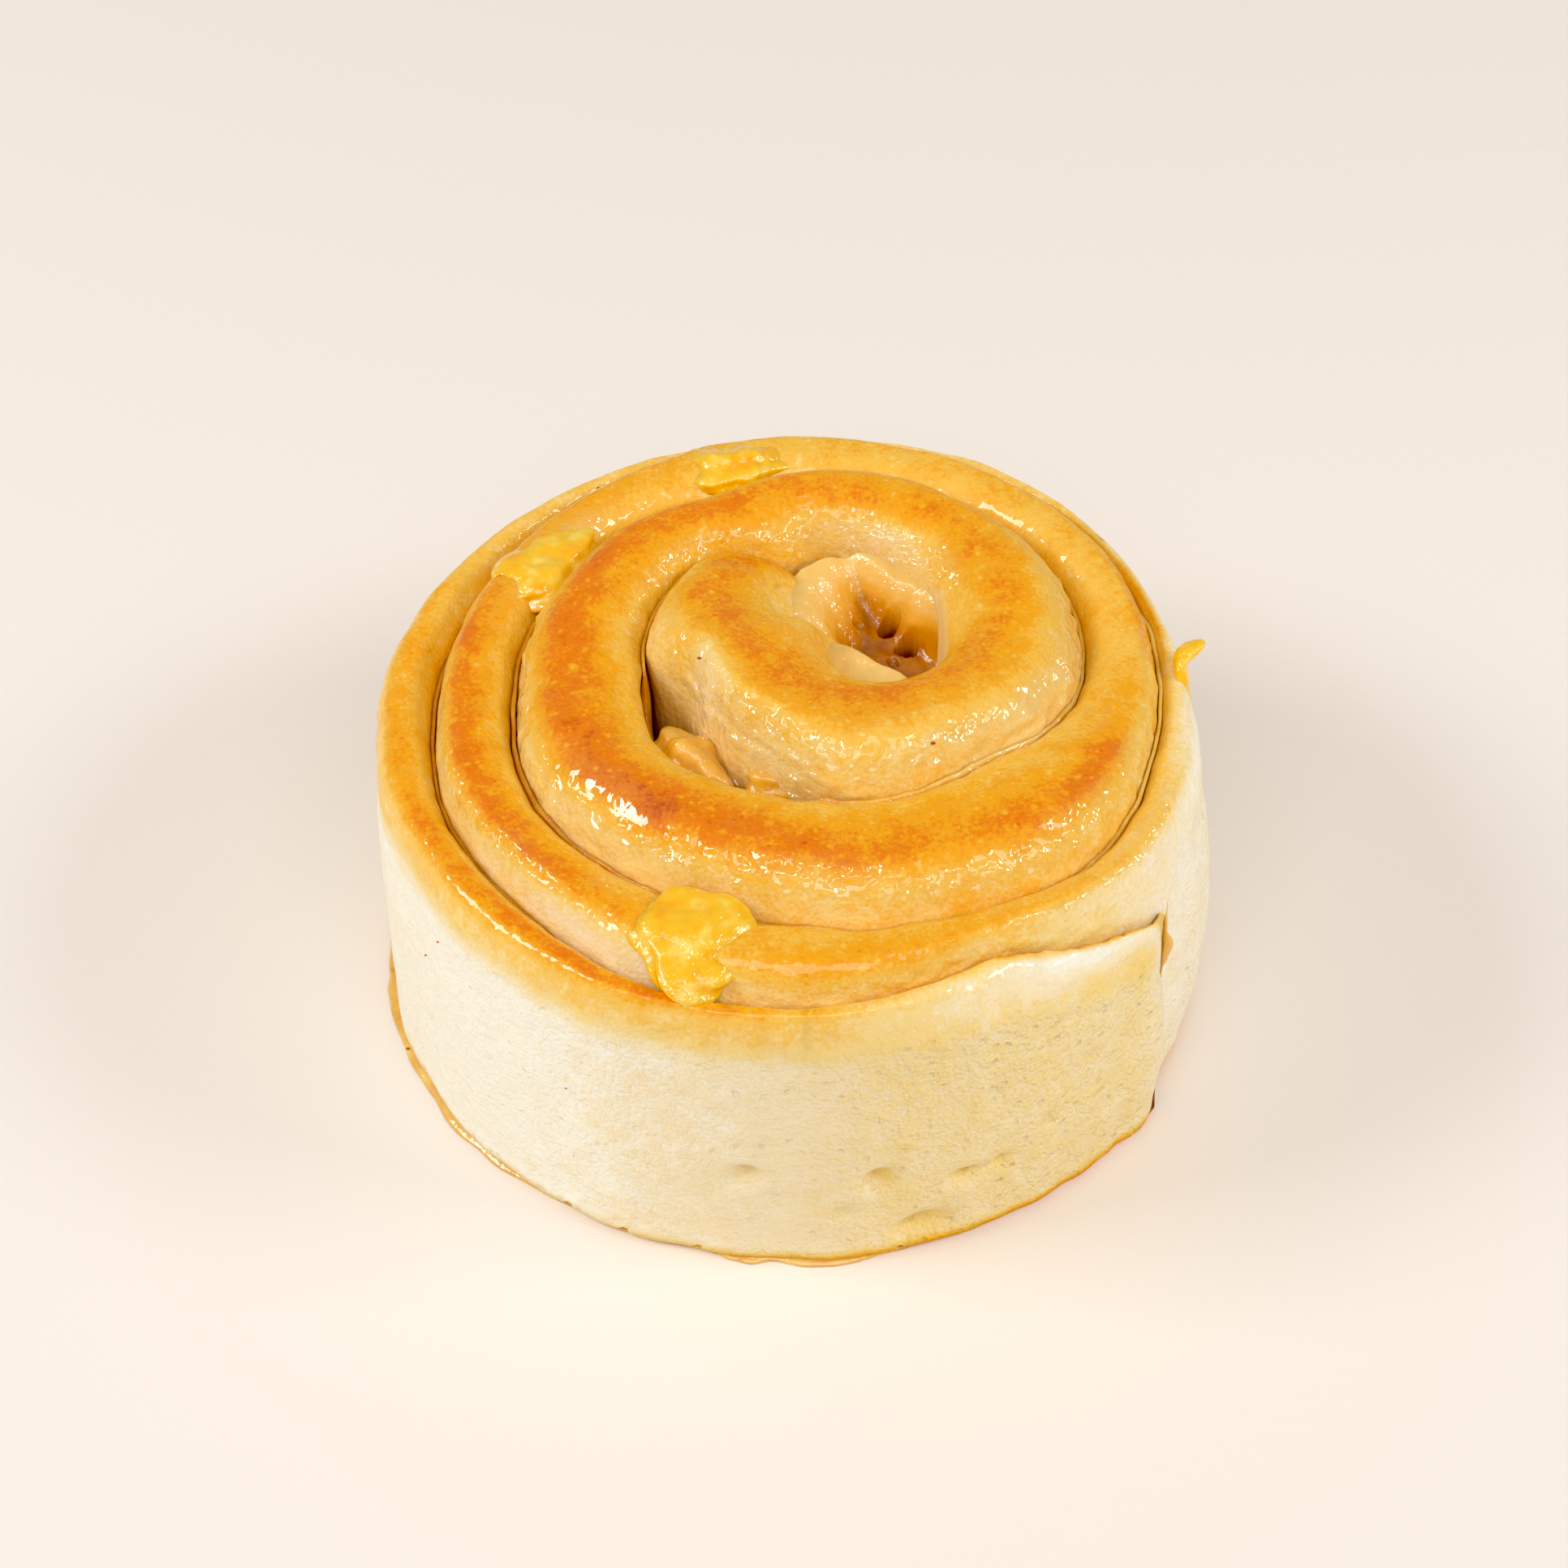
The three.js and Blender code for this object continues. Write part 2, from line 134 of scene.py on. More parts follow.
def grain(points, size, seed=0.0):
    """Soft noise from -1 to 1 at each point, with lumps of about that size."""
    flat = np.asarray(points, float).reshape(-1, points.shape[-1])
    if flat.shape[1] < 3:
        flat = np.hstack([flat, np.zeros((len(flat), 3 - flat.shape[1]))])
    flat = flat / size + seed
    return np.array([noise.noise(Vector(p)) for p in flat]).reshape(points.shape[:-1])


# The seam and the heights along the strip

def outward(angle):
    turned = np.radians(angle)
    return np.stack([np.cos(turned), np.sin(turned)], -1)


def turn_centre(angle):
    left = 1 - np.clip((angle - CENTRED_FROM) / (CENTRED_BY - CENTRED_FROM), 0, 1)
    return left[..., None] * EYE


def quarter_reaches():
    reaches = []
    for turn in range(len(SEAM_BACK)):
        crossings = [
            (0, SEAM_BACK[turn]), (-SEAM_LEFT[turn], 0), (0, -SEAM_FRONT[turn]), (SEAM_RIGHT[turn], 0),
        ]
        for side, crossing in enumerate(crossings):
            angle = np.array(float(FIRST_QUARTER + TURN * turn + 90 * side))
            reaches.append(float(np.dot(np.array(crossing) - turn_centre(angle), outward(angle))))
    return np.array(reaches)


REACHES = quarter_reaches()


def seam_reach(angle):
    place = np.clip((angle - FIRST_QUARTER) / 90, 0, len(REACHES) - 1)
    index = np.minimum(place.astype(int), len(REACHES) - 2)
    share = place - index
    before, here = REACHES[np.maximum(index - 1, 0)], REACHES[index]
    after, beyond = REACHES[index + 1], REACHES[np.minimum(index + 2, len(REACHES) - 1)]
    leave, arrive = (after - before) / 2, (beyond - here) / 2
    reach = ((2 * here - 2 * after + leave + arrive) * share ** 3
             + (3 * after - 3 * here - 2 * leave - arrive) * share ** 2 + leave * share + here)
    for at, wide, size in SEAM_SWELLS:
        reach = reach + size * hump(angle, at, wide)
    return reach


LENGTH_ANGLES = np.arange(FIRST_QUARTER, LOOSE_END + 40, 1.0)
LENGTHS = np.cumsum(np.maximum(seam_reach(LENGTH_ANGLES), 9) * math.radians(1))


def seam_length(angle):
    return np.interp(angle, LENGTH_ANGLES, LENGTHS)


def seam_wander(angle):
    """The seam isn't drawn with a compass: small bends, the same for both turns beside it."""
    along = np.stack([seam_length(angle), np.zeros_like(angle)], -1)
    return 0.34 * grain(along, 9, 3.1) + 0.16 * grain(along, 3.2, 8.7)


def seam_point(angle, shift):
    reach = seam_reach(angle) + seam_wander(angle) + shift
    return turn_centre(angle) + outward(angle) * reach[..., None]


def loosed(angle):
    return smooth(angle, SEAM_LAST, SEAM_LAST + 16)


def covered(angle):
    return smooth(angle, TIP - 26, TIP + 26) * (1 - loosed(angle))


def half_gap(angle):
    return covered(angle) * mix(GAP, GAP_AT_END, smooth(angle, SEAM_LAST - GAP_NARROWS, SEAM_LAST)) / 2


def crown_height(angle):
    fall = np.clip((angle - CROWN_FROM) / (CROWN_TO - CROWN_FROM), 0, 1)
    past_tip = np.clip((angle - TIP) / TIP_SINK_LONG, 0, 1)
    sinks = (FIRST_SINKS * np.clip((CROWN_FROM - angle) / (CROWN_FROM - TIP), 0, 1) ** 2
             + TIP_SINKS * (1 - past_tip) ** TIP_SINK_EASE * (angle < TURN)
             + BACK_SINKS * hump(angle, BACK_AT, BACK_REACH)
             + END_SINKS * smooth(angle, LOOSE_END - END_SINK_LONG, LOOSE_END)
             + CORNER_SINKS * np.clip((angle - LOOSE_END + CORNER_LONG) / CORNER_LONG, 0, 1) ** 2)
    wave = 0.35 * np.sin(angle * 0.031 + 0.6) + 0.25 * np.sin(angle * 0.083 + 2.1)
    return mix(CROWN_TOP, CROWN_RIM, fall) - sinks + wave


def tongue(angle):
    """How far the strip's first part, beside the eye, leans over and slopes into the filling."""
    return smooth(angle, 96, 124) * (1 - smooth(angle, 212, 262))


def groove_height(angle):
    beside_tip = smooth(angle, TIP + 4, TIP + 66)
    below = mix(GROOVE_BELOW_CROWN, END_GROOVE, smooth(angle, SEAM_LAST - 60, SEAM_LAST - 20))
    below = below - CREASE_RISE * hump(angle, CREASE_AT, CREASE_REACH)
    between = crown_height(angle + TURN) - mix(EYE_LIP, below, beside_tip)
    rim = crown_height(angle) - RIM_DROP - SLOPED_DROP * hump(angle, SLOPED_AT, SLOPED_REACH)
    rim = rim - END_DROP * smooth(angle, 1325, 1375)
    along = np.stack([seam_length(angle), np.zeros_like(angle)], -1)
    ragged = 0.5 * grain(along, 6, 5.5) + 0.3 * grain(along, 2.2, 1.9)
    eye = crown_height(angle + TURN) - mix(EYE_LIP, TONGUE_LIP, tongue(angle + TURN))
    return np.where(angle < TIP, eye, mix(between, rim, loosed(angle)) + ragged)


def closed(angle):
    """How tightly the two turns are pinched together at the seam's top, from 0 to 1."""
    pocket = smooth(angle, 194, 202) * (1 - smooth(angle, 256, 266))
    slot = hump(angle, 566, 24)
    return np.clip(1 - pocket - 0.35 * slot, 0, 1)


# Bodies swept along the roll

def finish_mesh(bm, name, material, layers=()):
    """Turns a bmesh in millimetres into a piece of the bun, with its attributes."""
    bmesh.ops.scale(bm, vec=(MM, MM, MM), verts=bm.verts)
    mesh = bpy.data.meshes.new(name)
    bm.to_mesh(mesh)
    bm.free()
    for layer, values in layers:
        attribute = mesh.attributes.new(layer, "FLOAT", "POINT")
        attribute.data.foreach_set("value", np.asarray(values, np.float32).ravel())
    mesh.shade_smooth()
    mesh.materials.append(material)
    piece = bpy.data.objects.new(name, mesh)
    bpy.context.scene.collection.objects.link(piece)
    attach(piece, "root")
    return piece


def ball_grid(rows, sides):
    """A ball with that many rings, and the ring and side that each of its vertices is on."""
    bm = bmesh.new()
    bmesh.ops.create_uvsphere(bm, u_segments=sides, v_segments=rows + 1, radius=1)
    place = np.array([v.co[:] for v in bm.verts])
    down = np.arctan2(np.hypot(place[:, 0], place[:, 1]), place[:, 2])
    ring = np.rint(down / math.pi * (rows + 1)).astype(int) - 1
    side = np.rint(np.arctan2(place[:, 1], place[:, 0]) / (2 * math.pi) * sides).astype(int)
    return bm, ring, (sides - side) % sides


def swept_piece(name, grid, material, layers, **values):
    """A closed body through a grid of points, one row for each section, rounded off at both ends."""
    rows, sides = grid.shape[:2]
    bm, ring, side = ball_grid(rows, sides)
    inside = np.clip(ring, 0, rows - 1)
    middles = grid.mean(1)
    end = (ring < 0) | (ring >= rows)
    place = np.where(end[:, None], middles[inside], grid[inside, side])
    for vertex, point in zip(bm.verts, place):
        vertex.co = point
    picked = [(layer, table[inside, side]) for layer, table in layers]
    return finish_mesh(bm, name, material, picked)


def on_plan(spot, across, out, height):
    """Points of upright sections: spot and across are one for each row."""
    place = spot[:, None, :] + across[:, None, :] * out[..., None] - MIDDLE
    return np.concatenate([place, height[..., None]], -1)


# Dough

ROWS = 1090
SIDES = 90
# Points on the inner wall, inner shoulder, outer shoulder, outer wall and underside
USUAL_POINTS = np.array([8, 30, 34, 12, 6])
EYE_POINTS = np.array([20, 23, 29, 12, 6])
SIDE_POINTS = np.array([5, 9, 24, 46, 6])


def strip_angles(rows):
    """Angles along the strip at equal lengths."""
    angles = np.arange(TIP, LOOSE_END + 0.5, 0.5)
    reach = np.maximum((seam_reach(angles) + seam_reach(angles - TURN)) / 2, 11)
    length = np.cumsum(reach)
    return np.interp(np.linspace(length[0], length[-1], rows), length, angles)


def section_stations(angles):
    """For each point of each section, the stretch of the outline that it is on and its share of it."""
    eye = (1 - covered(angles - TURN))[:, None]
    side = loosed(angles)[:, None]
    counts = mix(mix(USUAL_POINTS, EYE_POINTS, eye), SIDE_POINTS, side)
    borders = np.hstack([np.zeros((len(angles), 1)), np.cumsum(counts, 1)])
    borders *= SIDES / borders[:, -1:]
    steps = np.arange(SIDES)
    place = np.array([np.interp(steps, row, np.arange(6)) for row in borders])
    stretch = np.minimum(place.astype(int), 4)
    return stretch, place - stretch


def rounding(height, radius):
    """How far a foot of that radius draws back at this height."""
    left = np.clip(1 - height / radius, 0, 1)
    return radius * (1 - np.sqrt(1 - left ** 2))


def quarter_arc(share, start, fullness):
    """How near the outline is to the seam, and how far up, on its way from there to the crown."""
    turn = np.radians(mix(start, 90, share))
    low = np.sin(np.radians(start))
    near = (np.cos(turn) / np.cos(np.radians(start))) ** fullness
    return near, ((np.sin(turn) - low) / (1 - low)).clip(0) ** fullness


def pinched(angle):
    """How far each wall of a seam leans in at its top; a thin line of filling stays between them."""
    return (half_gap(angle) - LINE_HALF).clip(0) * closed(angle)


def leaning_together(height, top, angle):
    """How far a seam's walls lean together: fully at its top, and all the way down at the loose end."""
    at_top = hump(np.minimum(height, top - 0.4), top - 0.4, 2.0)
    return np.maximum(at_top, smooth(angle, SEAM_LAST - 14, SEAM_LAST - 4))


def side_swell(angle):
    turned = (angle - RIGHT_AT + TURN / 2) % TURN - TURN / 2
    wrinkle = 0.35 * np.sin(angle * 0.21) * hump(turned, -20, 45)
    return loosed(angle) * (SIDE_SWELL + RIGHT_SWELL * hump(turned, 0, RIGHT_REACH) + wrinkle)


def round_ends(angles, stretch, out, high):
    """The loose end is rounded off against the seam, and the tip is drawn in."""
    edge = np.clip((LOOSE_END - angles) / END_ROUND, 0, 1)
    thinner = END_THIN * (1 - np.sqrt(1 - (1 - edge) ** 2))[:, None]
    out = out - np.where((stretch == 2) | (stretch == 3), thinner, 0)
    along = np.clip((angles - TIP) / TIP_ROUND, 0, 1)
    drawn_share = mix(TIP_THIN, 1, np.sqrt(1 - (1 - along) ** 2))[:, None]
    out = mix(out.mean(1, keepdims=True), out, drawn_share)
    return out, high * mix(TIP_LOW, 1, drawn_share)


def inner_half(angles, top, crown, apex, share, foot):
    """The strip's side towards the eye: its wall and its shoulder, each out and high, and its edge."""
    in_seam = angles - TURN
    leaning = column(tongue(angles))
    lip = LIP_INWARD * hump(angles, LIP_AT, LIP_REACH)
    narrowed = -EYE_NARROWS * (1 - covered(in_seam)) - TONGUE_LEANS * tongue(angles)
    wall = column(top) * (1 - (1 - share) ** 1.5)
    leaned = np.clip((column(top) - wall) / TONGUE_SLOPE, 0, 1) ** 0.9
    usual = 1 - smooth(wall / column(top), 0.5, 1)
    wall_out = column(narrowed) * mix(usual, leaned, leaning) - column(lip) + rounding(wall, column(foot))
    near, up = quarter_arc(share, column(VALLEY * covered(in_seam)), mix(CROWN_FULLNESS, 1.1, leaning))
    shoulder_out = mix(column(apex), column(-lip), near)
    return wall_out, wall, shoulder_out, mix(column(top), column(crown), up), narrowed - lip


def outer_half(angles, span, top, crown, apex, share, foot):
    """The strip's side away from the eye: its shoulder and its wall, each out and high."""
    on_side = column(loosed(angles))
    drawn = DRAWN_IN * hump(angles, DRAWN_AT, DRAWN_REACH) * smooth(angles, 186, 208)
    fullness = mix(CROWN_FULLNESS, SLOPED_FULLNESS, hump(angles, SLOPED_AT, SLOPED_REACH))
    near, up = quarter_arc(1 - share, VALLEY * (1 - on_side), column(fullness))
    shoulder_out = mix(column(apex), column(span - drawn), near)
    wall = column(top) * (1 - share) ** mix(1.5, 1.0, on_side)
    part = wall / column(top)
    wall_out = (column(span) - column(drawn) * smooth(part, 0.42, 1)
                + column(side_swell(angles)) * np.sin(np.pi * part) ** 0.8
                + on_side * 0.35 * hump(wall, 0.6, 2.0) - 0.8 * rounding(wall, column(foot)))
    return shoulder_out, mix(column(top), column(crown), up), wall_out, wall


def lean_walls(angles, stretch, out, high, inner_top, outer_top):
    """Both walls of a seam lean together at its top."""
    in_seam = angles - TURN
    inner = column(pinched(in_seam)) * leaning_together(high, column(inner_top), column(in_seam))
    outer = column(pinched(angles)) * leaning_together(high, column(outer_top), column(angles))
    return out - np.where(stretch <= 1, inner, 0) + np.where((stretch == 2) | (stretch == 3), outer, 0)


def dough_grid(angles):
    """Points of the strip's surface, and where on the strip each of them lies."""
    in_seam = angles - TURN
    inner = seam_point(in_seam, half_gap(in_seam))
    across = seam_point(angles, -half_gap(angles)) - inner
    wide = np.linalg.norm(across, axis=1)
    span = np.maximum(wide, THINNEST)
    crown = crown_height(angles)
    inner_top = np.minimum(groove_height(in_seam), crown - LEAST_RISE)
    outer_top = np.minimum(groove_height(angles), crown - LEAST_RISE)
    usual_apex = mix(APEX, SLOPED_APEX, hump(angles, SLOPED_AT, SLOPED_REACH))
    apex = span * mix(usual_apex, END_APEX, smooth(angles, LOOSE_END - 60, LOOSE_END - 20))
    foot = np.minimum(1.2, span * 0.3)

    stretch, share = section_stations(angles)
    out_a, high_a, out_b, high_b, inner_edge = inner_half(angles, inner_top, crown, apex, share, foot)
    out_c, high_c, out_d, high_d = outer_half(angles, span, outer_top, crown, apex, share, foot)
    out_e = mix(column(span + 0.1 * loosed(angles) - foot * 0.8), column(inner_edge + foot), share)
    out = np.choose(stretch, [out_a, out_b, out_c, out_d, out_e])
    high = np.choose(stretch, [high_a, high_b, high_c, high_d, np.zeros_like(out_e)])
    out = lean_walls(angles, stretch, out, high, inner_top, outer_top)
    out, high = round_ends(angles, stretch, out, high)
    where = {
        "angle": column(angles) + 0 * out, "high": high, "width": out / column(span), "stretch": stretch,
        "crown": column(crown), "inner_top": column(inner_top), "outer_top": column(outer_top),
        "side": column(loosed(angles)), "bare": column(smooth(angles, SEAM_LAST - 10, SEAM_LAST + 2)),
    }
    return on_plan(inner, across / column(wide), out, high), where


# Browning: the darkest line of each crown along the roll, where it lies and how far it spreads
BROWN_LINE = [
    (96, 0.46), (122, 0.58), (150, 0.72), (172, 0.76), (190, 0.76), (215, 0.72), (270, 0.72), (320, 0.7),
    (360, 0.66), (400, 0.68), (450, 0.66), (500, 0.78), (540, 0.8), (590, 0.86), (630, 0.74), (680, 0.66),
    (720, 0.52), (760, 0.52), (810, 0.5), (860, 0.62), (900, 0.78), (940, 0.8), (972, 0.56), (990, 0.6),
    (1030, 0.58), (1052, 0.42), (1066, 0.22), (1094, 0.2), (1112, 0.3), (1130, 0.4), (1170, 0.38),
    (1210, 0.44), (1260, 0.62), (1290, 0.72), (1315, 0.8), (1335, 0.7), (1350, 0.56), (1362, 0.38),
    (1374, 0.22), (1408, 0.14),
]
LINE_PLACE = [
    (96, 0.5), (180, 0.45), (210, 0.36), (250, 0.26), (300, 0.26), (360, 0.4), (450, 0.55), (540, 0.66),
    (630, 0.66), (720, 0.62), (900, 0.7), (980, 0.6), (1080, 0.4), (1180, 0.5), (1260, 0.5), (1310, 0.42),
    (1408, 0.4),
]


# Paler or darker places: angle along the roll, reach, place across, reach, change. The pale ones at 226, 436
# and 1062 are partly painted highlight where the wet glaze shines, over paler crust
BAKE_AND_HIGHLIGHT_PATCHES = [
    (1390, 12, 0.5, 0.3, -0.2), (1378, 20, 0.85, 0.2, -0.15), (226, 28, 0.9, 0.24, -0.4),
    (1062, 34, 0.86, 0.3, -0.3), (436, 26, 0.02, 0.2, -0.3), (217, 16, 0.62, 0.12, -0.3),
    (994, 30, 0.84, 0.16, 0.16), (446, 24, 0.26, 0.14, 0.16), (228, 26, -0.45, 0.5, 0.2),
    (684, 16, 0.66, 0.14, 0.16), (735, 14, 0.94, 0.16, 0.24), (1100, 12, 0.1, 0.2, 0.2),
    (962, 34, 1.0, 0.2, -0.24), (588, 40, 1.0, 0.14, -0.1), (1150, 60, 0.8, 0.3, -0.1),
    (330, 30, 1.0, 0.14, -0.12), (1048, 24, 0.62, 0.12, 0.12), (1180, 60, 0.2, 0.3, -0.06),
]

# Round the side, from the left (0) by the front (90) and the right (180) to the back (270)
# The side's own cream and tan, darker at the front right (105 to 140) partly as painted shade on the side
# turned away from the left softbox
SIDE_TAN_AND_SHADE = [
    (0, 0.05), (45, 0.0), (82, 0.1), (105, 0.2), (140, 0.2), (150, 0.06), (185, 0.06), (240, 0.1), (330, 0.1),
    (360, 0.06),
]
FOOT_BROWN = [(0, 0.3), (32, 0.5), (60, 0.35), (90, 0.8), (130, 1.1), (160, 1.0), (220, 0.5), (360, 0.3)]
SIDE_CRUMB = [(0, 0.4), (60, 0.4), (120, 1.0), (170, 0.8), (230, 0.5), (360, 0.4)]
SIDE_CREASES = [(0, 0.25), (95, 0.3), (140, 1.0), (180, 0.8), (230, 0.5), (360, 0.25)]


def round_side(angle, pairs):
    """A value that changes round the bun's side, the same on both sides of where it starts."""
    return keyed((angle + TURN / 2) % TURN, pairs)


# Small dents in the side: bearing, height, depth, half width, half height
SIDE_PITS = [
    (263.6, 14.1, 1.92, 1.43, 1.08), (281.0, 12.7, 2.08, 1.32, 1.2), (292.8, 10.0, 1.76, 1.65, 0.96),
    (298.1, 10.0, 1.28, 1.1, 0.96), (287.2, 3.6, 1.92, 2.64, 1.44), (276, 8, 0.8, 1.32, 0.96),
    (305, 14, 0.56, 1.1, 1.44), (312, 19, 0.56, 0.99, 1.2),
]


def side_dents(where):
    """Depth of the small dents in the side at each point, in millimetres."""
    bearing, high = (where["angle"] % TURN)[..., None], where["high"][..., None]
    at, height, depth, wide, tall = np.array(SIDE_PITS).T
    dents = depth * hump((bearing - at) * math.radians(SIDE_REACH), 0, wide) * hump(high, height, tall)
    return dents.sum(-1) * where["side"] * (where["width"] > 0.5) * (where["stretch"] == 3)


def browning_and_painted_light(where):
    """How far the crust is baked at each point, 0 white dough to 1 dark brown, with painted light added in:
    painted shade on the side's front right and in its dents, painted highlight in some pale patches.
    """
    angle, width, stretch, high = where["angle"], where["width"], where["stretch"], where["high"]
    line = keyed(angle, BROWN_LINE)
    place = keyed(angle, LINE_PLACE)
    inner_side = mix(0.44, line, smooth(width, -0.02, place) ** 0.9)
    outer_side = mix(0.38, line, 1 - smooth(width, place, 1.0) ** 1.5)
    bake_and_painted_light = np.where(width < place, inner_side, outer_side)
    # The crust's own paler and darker baking, with painted highlight in some of the pale patches
    for at, reach, across, wide, change in BAKE_AND_HIGHLIGHT_PATCHES:
        bake_and_painted_light = bake_and_painted_light + change * hump(angle, at, reach) * hump(width, across, wide)
    inside = stretch <= 1
    below = np.where(inside, where["inner_top"], where["outer_top"]) - high
    outer_face = where["bare"] * ~inside
    bake_and_painted_light = mix(bake_and_painted_light, 0.24, smooth(below, -1.0, 3.0) * (1 - outer_face))
    eye_side = (1 - covered(angle - TURN)) * inside
    bake_and_painted_light = mix(bake_and_painted_light, mix(0.2, 0.44, tongue(angle)), smooth(where["crown"] - high, 2.0, 7.0) * eye_side)
    down = smooth(where["crown"] - high, 2.5, 8.0) * outer_face
    # Below the crown the side takes its tone from the table round the side, painted shade on the front right
    # included
    bake_and_painted_light = mix(bake_and_painted_light, round_side(angle, SIDE_TAN_AND_SHADE), down)
    bake_and_painted_light = bake_and_painted_light + 0.55 * outer_face * smooth(high, 2.2, 0.1) * round_side(angle, FOOT_BROWN)
    # Painted shade in the side's dents: darker where a dent is deeper
    bake_and_painted_light = bake_and_painted_light + 0.05 * side_dents(where)
    return np.where(stretch == 4, 0.72, bake_and_painted_light.clip(0, 1))


# Syrup that has soaked in and tints the dough, with painted shade in the pocket and the deep seams: angle,
# reach, place across, reach, strength
SYRUP_AND_SHADE_PATCHES = [
    (440, 30, 0.0, 0.1, 0.4), (1044, 8, 0.24, 0.2, 0.9), (228, 24, -0.45, 0.4, 0.6), (868, 12, 0.3, 0.3, 0.7),
    (1040, 20, 0.3, 0.25, 0.5), (340, 34, 0.97, 0.12, 0.5),
]


def syrup_and_shade_tint(where):
    """How far each point is tinted amber, 0 to 1: soaked-in syrup and painted shade together, most down in
    the seams and in the eye.
    """
    angle, width, high = where["angle"], where["width"], where["high"]
    inside = where["stretch"] <= 1
    below = np.where(inside, where["inner_top"], where["outer_top"]) - high
    # Amber down in the seams: soaked syrup and painted shade between the turns
    syrup_and_shade = 0.35 * smooth(below, -0.6, 1.6) * (1 - where["bare"] * ~inside)
    eye_side = (1 - covered(angle - TURN)) * inside
    # Deeper amber on the eye's back wall and lower down it: syrup and painted shade
    deep = 0.3 + 0.4 * smooth(angle, 466, 486)
    syrup_and_shade = mix(syrup_and_shade, deep * smooth(where["crown"] - high, 4.5, 9.0), eye_side)
    for at, reach, place, wide, strong in SYRUP_AND_SHADE_PATCHES:
        syrup_and_shade = np.maximum(syrup_and_shade, strong * hump(angle, at, reach) * hump(width, place, wide))
    return np.where(where["stretch"] == 4, 0, syrup_and_shade)


# Wet patches: angle along the roll, reach, place across, reach, glaze, ripple
WET_PATCHES = [
    (588, 20, 0.7, 0.22, 1.0, 0.05), (604, 16, 0.94, 0.08, 1.0, 1.4), (626, 22, 0.84, 0.18, 1.0, 1.2),
    (660, 40, 0.92, 0.12, 0.8, 1.0), (673, 9, 0.8, 0.12, 1.0, 0.6), (682, 9, 0.82, 0.14, 1.0, 0.25),
    (694, 9, 0.8, 0.16, 1.0, 0.4), (696, 8, 0.42, 0.1, 0.9, 0.6), (327, 12, 0.88, 0.16, 1.0, 0.4),
    (352, 26, 0.98, 0.14, 1.0, 1.3), (300, 24, 0.93, 0.14, 0.9, 1.0), (278, 34, 0.66, 0.2, 0.8, 0.5),
    (214, 22, 0.76, 0.18, 1.0, 1.6), (236, 26, 0.74, 0.16, 1.0, 1.7), (256, 20, 0.86, 0.16, 1.0, 1.5),
    (230, 60, 0.9, 0.3, 1.0, 1.1), (500, 60, 0.06, 0.22, 1.0, 1.2), (560, 50, 0.98, 0.12, 0.9, 1.1),
    (760, 40, 0.95, 0.12, 0.8, 1.0), (400, 40, 0.9, 0.14, 0.9, 1.0), (930, 40, 0.9, 0.12, 0.8, 1.0),
    (1300, 24, 0.2, 0.16, 0.8, 0.8), (957, 8, 0.35, 0.25, 0.9, 1.0), (942, 10, 0.72, 0.14, 0.9, 0.6),
    (1032, 12, 0.82, 0.16, 1.0, 1.3), (1043, 10, 0.77, 0.2, 1.0, 1.2), (1048, 18, 0.5, 0.5, 0.9, 0.8),
    (1062, 16, 0.3, 0.3, 0.7, 0.8), (396, 22, 0.1, 0.18, 1.0, 1.2), (425, 50, 0.02, 0.18, 1.0, 1.7),
    (478, 16, 0.02, 0.14, 1.0, 1.5), (456, 14, 0.06, 0.12, 1.0, 1.3), (140, 50, 0.05, 0.2, 1.0, 0.7),
    (868, 20, 0.3, 0.3, 1.0, 0.8),
]


def wetness(where):
    """Glaze and its ripple at each point, both 0 to 1."""
    crown = smooth(where["crown"] - where["high"], 7, 1)
    glaze, ripple = 0.45 * crown, 0.2 * crown
    for at, reach, place, wide, wet, rippled in WET_PATCHES:
        patch = hump(where["angle"], at, reach) * hump(where["width"], place, wide)
        glaze = np.maximum(glaze, wet * patch)
        ripple = np.maximum(ripple, rippled * patch)
    seam = syrup_and_shade_tint(where)
    return np.maximum(glaze, 0.9 * seam), np.maximum(ripple, 0.8 * seam)


# Torn and flaky edges beside a seam: angle along the roll, reach, height of the crags
TORN_EDGES = [
    (345, 44, 0.9), (225, 30, 0.4), (520, 20, 0.5), (566, 30, 0.3), (700, 40, 0.2), (1010, 40, 0.25),
]


def torn_edge(where, grid):
    """Relief of the crags along the outer edge of a turn."""
    strong = sum(size * hump(where["angle"], at, reach) for at, reach, size in TORN_EDGES) + 0.1
    outer = (where["stretch"] >= 2) & (where["stretch"] < 4)
    edge = hump(where["high"], where["outer_top"] + 1.1, 1.9) * outer
    return strong * edge * (grain(grid, 1.5, 12.0) + 0.5 * grain(grid, 0.8, 15.0))


# The last turn's end has a torn, floury top: angle and reach
ROUGH_PATCH = (1388, 16)

# Upright folds of the side at the right: bearing, reach, depth
FOLDS = [(332.5, 1.3, 0.55), (337.5, 1.5, 0.5), (344, 2.2, 0.35), (352, 3.0, 0.3)]


def side_wall(where):
    """1 on the bun's outer side, below the rounding of its crown."""
    return where["side"] * (where["width"] > 0.5) * smooth(where["crown"] - where["high"], 3, 7)


def skin_relief(where, grid):
    """Relief of the turns: soft swellings and torn edges, but none inside a seam."""
    swell = 0.22 * grain(grid, 11, 2.0) + 0.12 * grain(grid, 4.5, 7.0) + 0.05 * grain(grid, 2.0, 4.0)
    top = np.where(where["stretch"] <= 1, where["inner_top"], where["outer_top"])
    in_seam = smooth(top + 1.2 - where["high"], 0, 1.6) * (1 - where["side"] * (where["stretch"] >= 2))
    return (swell + torn_edge(where, grid)) * (1 - in_seam)


